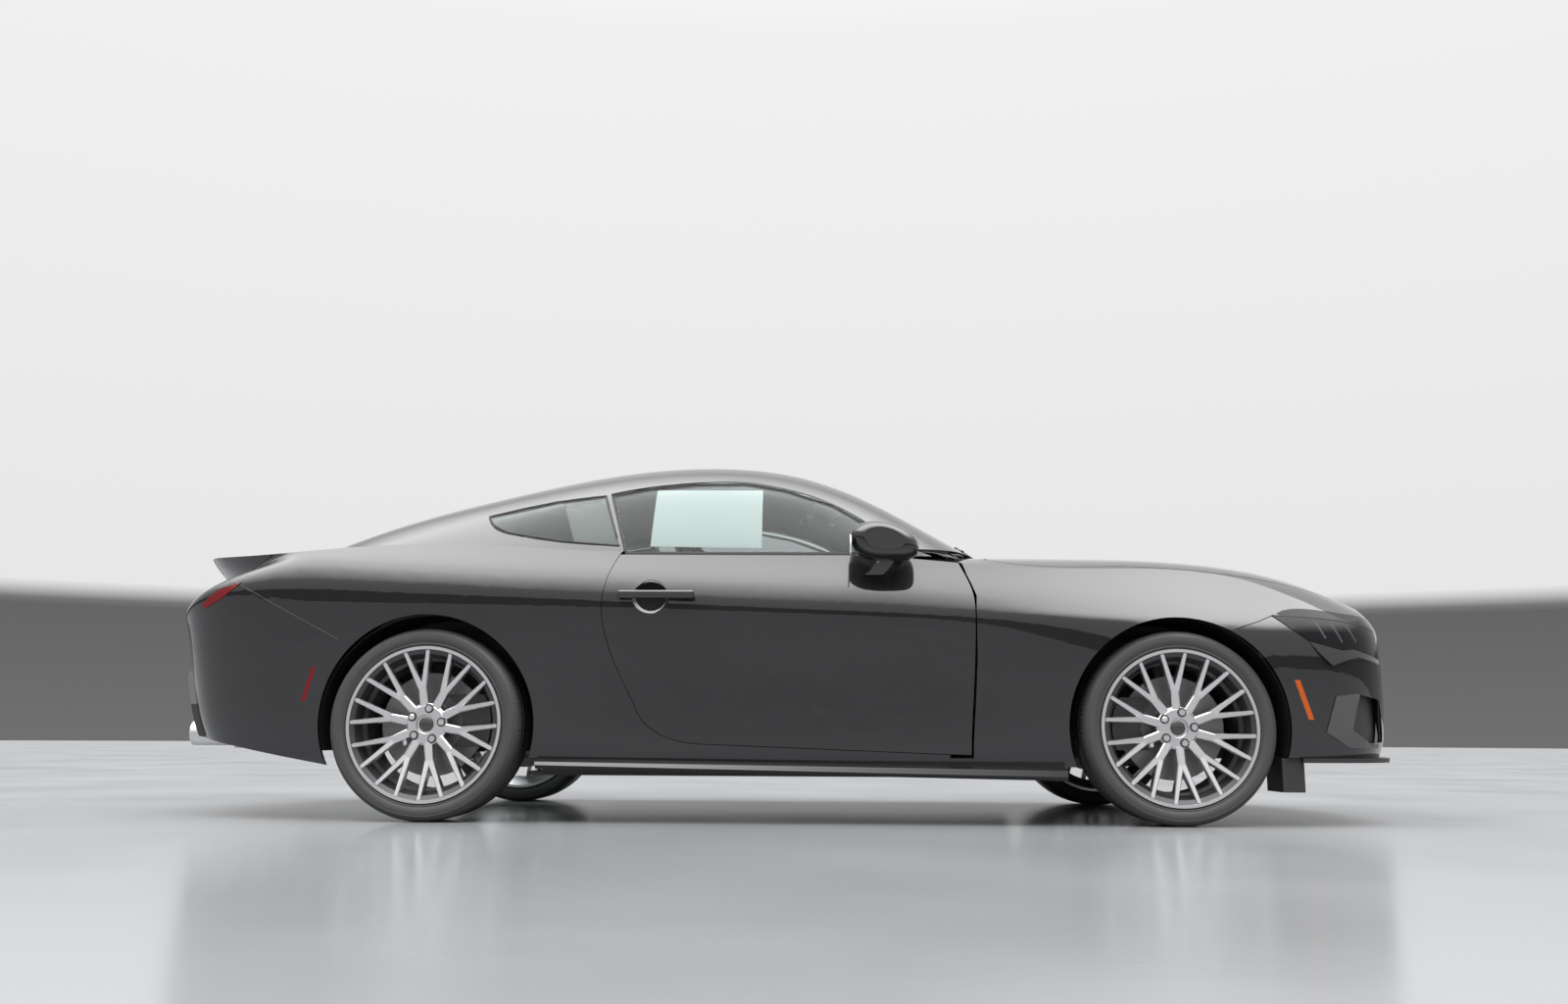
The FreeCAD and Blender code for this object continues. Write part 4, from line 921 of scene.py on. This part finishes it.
def block(form, size, place, tilt, round_off):
    """Adds a block with rounded edges, leaning about the car's width."""
    verts = bmesh.ops.create_cube(form, size=1)["verts"]
    bmesh.ops.scale(form, vec=size, verts=verts)
    edges = list({edge for vert in verts for edge in vert.link_edges})
    rounded = bmesh.ops.bevel(form, geom=edges, offset=min(round_off, min(size) * ROUND_SHARE), segments=3,
                              profile=0.5, affect="EDGES", material=-1)
    verts = list({vert for face in rounded["faces"] for vert in face.verts})
    lean(form, verts, "Y", tilt)
    bmesh.ops.translate(form, vec=place, verts=verts)


for name, side in SIDES.items():
    form = bmesh.new()
    for part in (SHELL, SEAT_BASE):
        x, y, z = part["place"]
        block(form, part["size"], (x, -side * y, z), part["tilt"], SHELL_ROUND)
    x, z = RUNNER["place"]
    for turn in (-1, 1):
        block(form, RUNNER["size"], (x, side * SEAT_Y + turn * RUNNER["half_gap"], z), 0, RUNNER["round"])
    add_piece("seat_frame_" + name, "root", black_plastic, form)
    form = bmesh.new()
    x, z = STALK["place"]
    for turn in (-1, 1):
        verts = bmesh.ops.create_cone(form, cap_ends=True, segments=16, radius1=STALK["r"],
                                      radius2=STALK["r"], depth=STALK["length"])["verts"]
        lean(form, verts, "Y", STALK["tilt"])
        bmesh.ops.translate(form, vec=(x, side * SEAT_Y + turn * STALK["half_gap"], z), verts=verts)
    add_piece("restraint_stalks_" + name, "root", chrome, form)


# The door cards: moulded and cloth-covered boards on the inner side of each door, with an armrest, a bright
# release lever and the round cover of a speaker, clipped to the door's inner steel.
CARD = {"size": (1.12, 0.010, 0.610), "place": (0.0, 0.7765, 0.625), "round": 0.004}
ARMREST = {"size": (0.50, 0.060, 0.075), "place": (-0.10, 0.748, 0.640), "round": 0.018}
LEVER = {"size": (0.095, 0.012, 0.022), "place": (0.300, 0.766, 0.800), "round": 0.005}
SPEAKER = {"r": 0.075, "face_r": 0.0705, "depth": 0.012, "place": (0.400, 0.772, 0.440)}
for name, side in SIDES.items():
    for part, sizes, slot, material in (
        ("door_card_", CARD, "cabin_plastic", headlining_cloth),
        ("armrest_", ARMREST, "cabin_plastic", black_plastic),
        ("door_lever_", LEVER, "steel", chrome),
    ):
        form = bmesh.new()
        x, y, z = sizes["place"]
        block(form, sizes["size"], (x, side * y, z), 0, sizes["round"])
        add_piece(part + name, "door_body_" + name, material, form)
    form = bmesh.new()
    x, y, z = SPEAKER["place"]
    bmesh.ops.create_cone(form, cap_ends=True, segments=48, radius1=SPEAKER["r"], radius2=SPEAKER["face_r"],
                          depth=SPEAKER["depth"])
    lean(form, form.verts, "X", side * 90)
    bmesh.ops.translate(form, vec=(x, side * y, z), verts=form.verts)
    add_piece("speaker_" + name, "door_body_" + name, black_plastic, form)


# The dashboard's screens and the inner mirror: a wide glossy panel with blank screens screwed to the
# dashboard's top, and a mirror on a short stalk bonded to the windshield.
SCREEN = {"size": (0.014, 0.60, 0.105), "place": (0.435, 0.215, 0.962), "tilt": 14, "round_off": 0.005}
MIRROR = {"size": (0.022, 0.23, 0.052), "place": (0.190, 0.0, 1.245), "tilt": 8, "round_off": 0.006}
MIRROR_STALK = {"size": (0.075, 0.018, 0.016), "place": (0.232, 0.0, 1.262), "tilt": -24, "round_off": 0.006}
form = bmesh.new()
block(form, **SCREEN)
add_piece("dashboard_screens", "root", cap_black, form)
form = bmesh.new()
block(form, **MIRROR)
block(form, **MIRROR_STALK)
add_piece("inner_mirror", "root", cap_black, form)


# The door mirrors' glass: silvered and oval, in a black surround that clips into the painted shell and faces
# the rear.
MIRROR_GLASS = {"y": 0.962, "z": 0.992, "half_y": 0.062, "half_z": 0.045, "gap": 0.001, "thick": 0.004}
MIRROR_BEHIND = -0.5
silvered = finish("silvered glass", {"Base Color": (0.85, 0.87, 0.87), "Metallic": 1.0}, silver_pattern)
for name, side in SIDES.items():
    form = bmesh.new()
    bmesh.ops.create_circle(form, cap_ends=True, segments=40, radius=1)
    lean(form, form.verts, "Y", 90)
    bmesh.ops.scale(form, vec=(1, MIRROR_GLASS["half_y"], MIRROR_GLASS["half_z"]), verts=form.verts)
    bmesh.ops.translate(form, vec=(0, side * MIRROR_GLASS["y"], MIRROR_GLASS["z"]), verts=form.verts)
    starts = [Vector((MIRROR_BEHIND, vert.co.y, vert.co.z)) for vert in form.verts]
    backs = [first_hit(("mirror_" + name,), start, (1, 0, 0)) for start in starts]
    rear = min(back.x for back in backs if back is not None)
    bmesh.ops.translate(form, vec=(rear - MIRROR_GLASS["gap"], 0, 0), verts=form.verts)
    thicken(form, (MIRROR_GLASS["thick"], 0, 0))
    add_piece("mirror_glass_" + name, "door_body_" + name, silvered, form)


# The wipers: two black arms that turn on spindles in the cowl, each with a long rubber blade that lies along
# the foot of the windshield. Places are given as (x, y).
WIPERS = (
    {"pivot": (0.792, 0.360), "heel": (0.700, -0.020), "tip": (0.668, 0.560)},
    {"pivot": (0.792, -0.180), "heel": (0.700, -0.520), "tip": (0.690, 0.010)},
)
BLADE_R = 0.005
BLADE_STEPS = 12
ARM_R = 0.006
ARM_LIFT = 0.014
ARM_SHARES = (0, 0.33, 0.66)
OVERHEAD = 2.0


def over_glass(start, end, share, lift):
    """The point above the windshield or the cowl that lies at a share of the way between two places."""
    x, y = [low + (high - low) * share for low, high in zip(start, end)]
    place = first_hit(("windshield", "cowl"), Vector((x, y, OVERHEAD)), (0, 0, -1))
    return Vector((x, y, place.z + lift))


def rod(form, points, radius):
    """A round bar along points, closed at both ends."""
    rings = []
    for index, point in enumerate(points):
        ahead = points[min(index + 1, len(points) - 1)] - points[max(index - 1, 0)]
        turn = ahead.to_track_quat("Z", "X").to_matrix().to_4x4()
        ring = bmesh.ops.create_circle(form, cap_ends=index in (0, len(points) - 1), segments=10,
                                       radius=radius, matrix=Matrix.Translation(point) @ turn)["verts"]
        edges = {edge for vert in ring for edge in vert.link_edges}
        rings.append([edge for edge in edges if all(vert in ring for vert in edge.verts)])
    for first, second in zip(rings, rings[1:]):
        bmesh.ops.bridge_loops(form, edges=first + second)
    bmesh.ops.recalc_face_normals(form, faces=form.faces)


for number, wiper in enumerate(WIPERS):
    form = bmesh.new()
    blade = [over_glass(wiper["heel"], wiper["tip"], index / BLADE_STEPS, BLADE_R)
             for index in range(BLADE_STEPS + 1)]
    rod(form, blade, BLADE_R)
    middle = blade[BLADE_STEPS // 2]
    arm = [over_glass(wiper["pivot"], middle, share, ARM_LIFT) for share in ARM_SHARES]
    arm.append(middle + Vector((0, 0, ARM_LIFT - BLADE_R)))
    rod(form, arm, ARM_R)
    add_piece("wiper_" + str(number), "root", black_plastic, form, 50)


# The diffuser's strakes: four upright fins of the same black plastic, moulded on the lower rear panel in two
# pairs and leaning with it.
STRAKES = (0.150, 0.360)
STRAKE = {"size": (0.120, 0.008, 0.105), "reach": 0.016, "height": 0.372, "tilt": -14, "round": 0.003}
STRAKE_BEHIND = -3
form = bmesh.new()
for half in STRAKES:
    for side in (-1, 1):
        start = Vector((STRAKE_BEHIND, side * half, STRAKE["height"]))
        x = first_hit(("diffuser",), start, (1, 0, 0)).x + STRAKE["size"][0] / 2 - STRAKE["reach"]
        block(form, STRAKE["size"], (x, side * half, STRAKE["height"]), STRAKE["tilt"], STRAKE["round"])
add_piece("diffuser_strakes", "root", black_plastic, form)
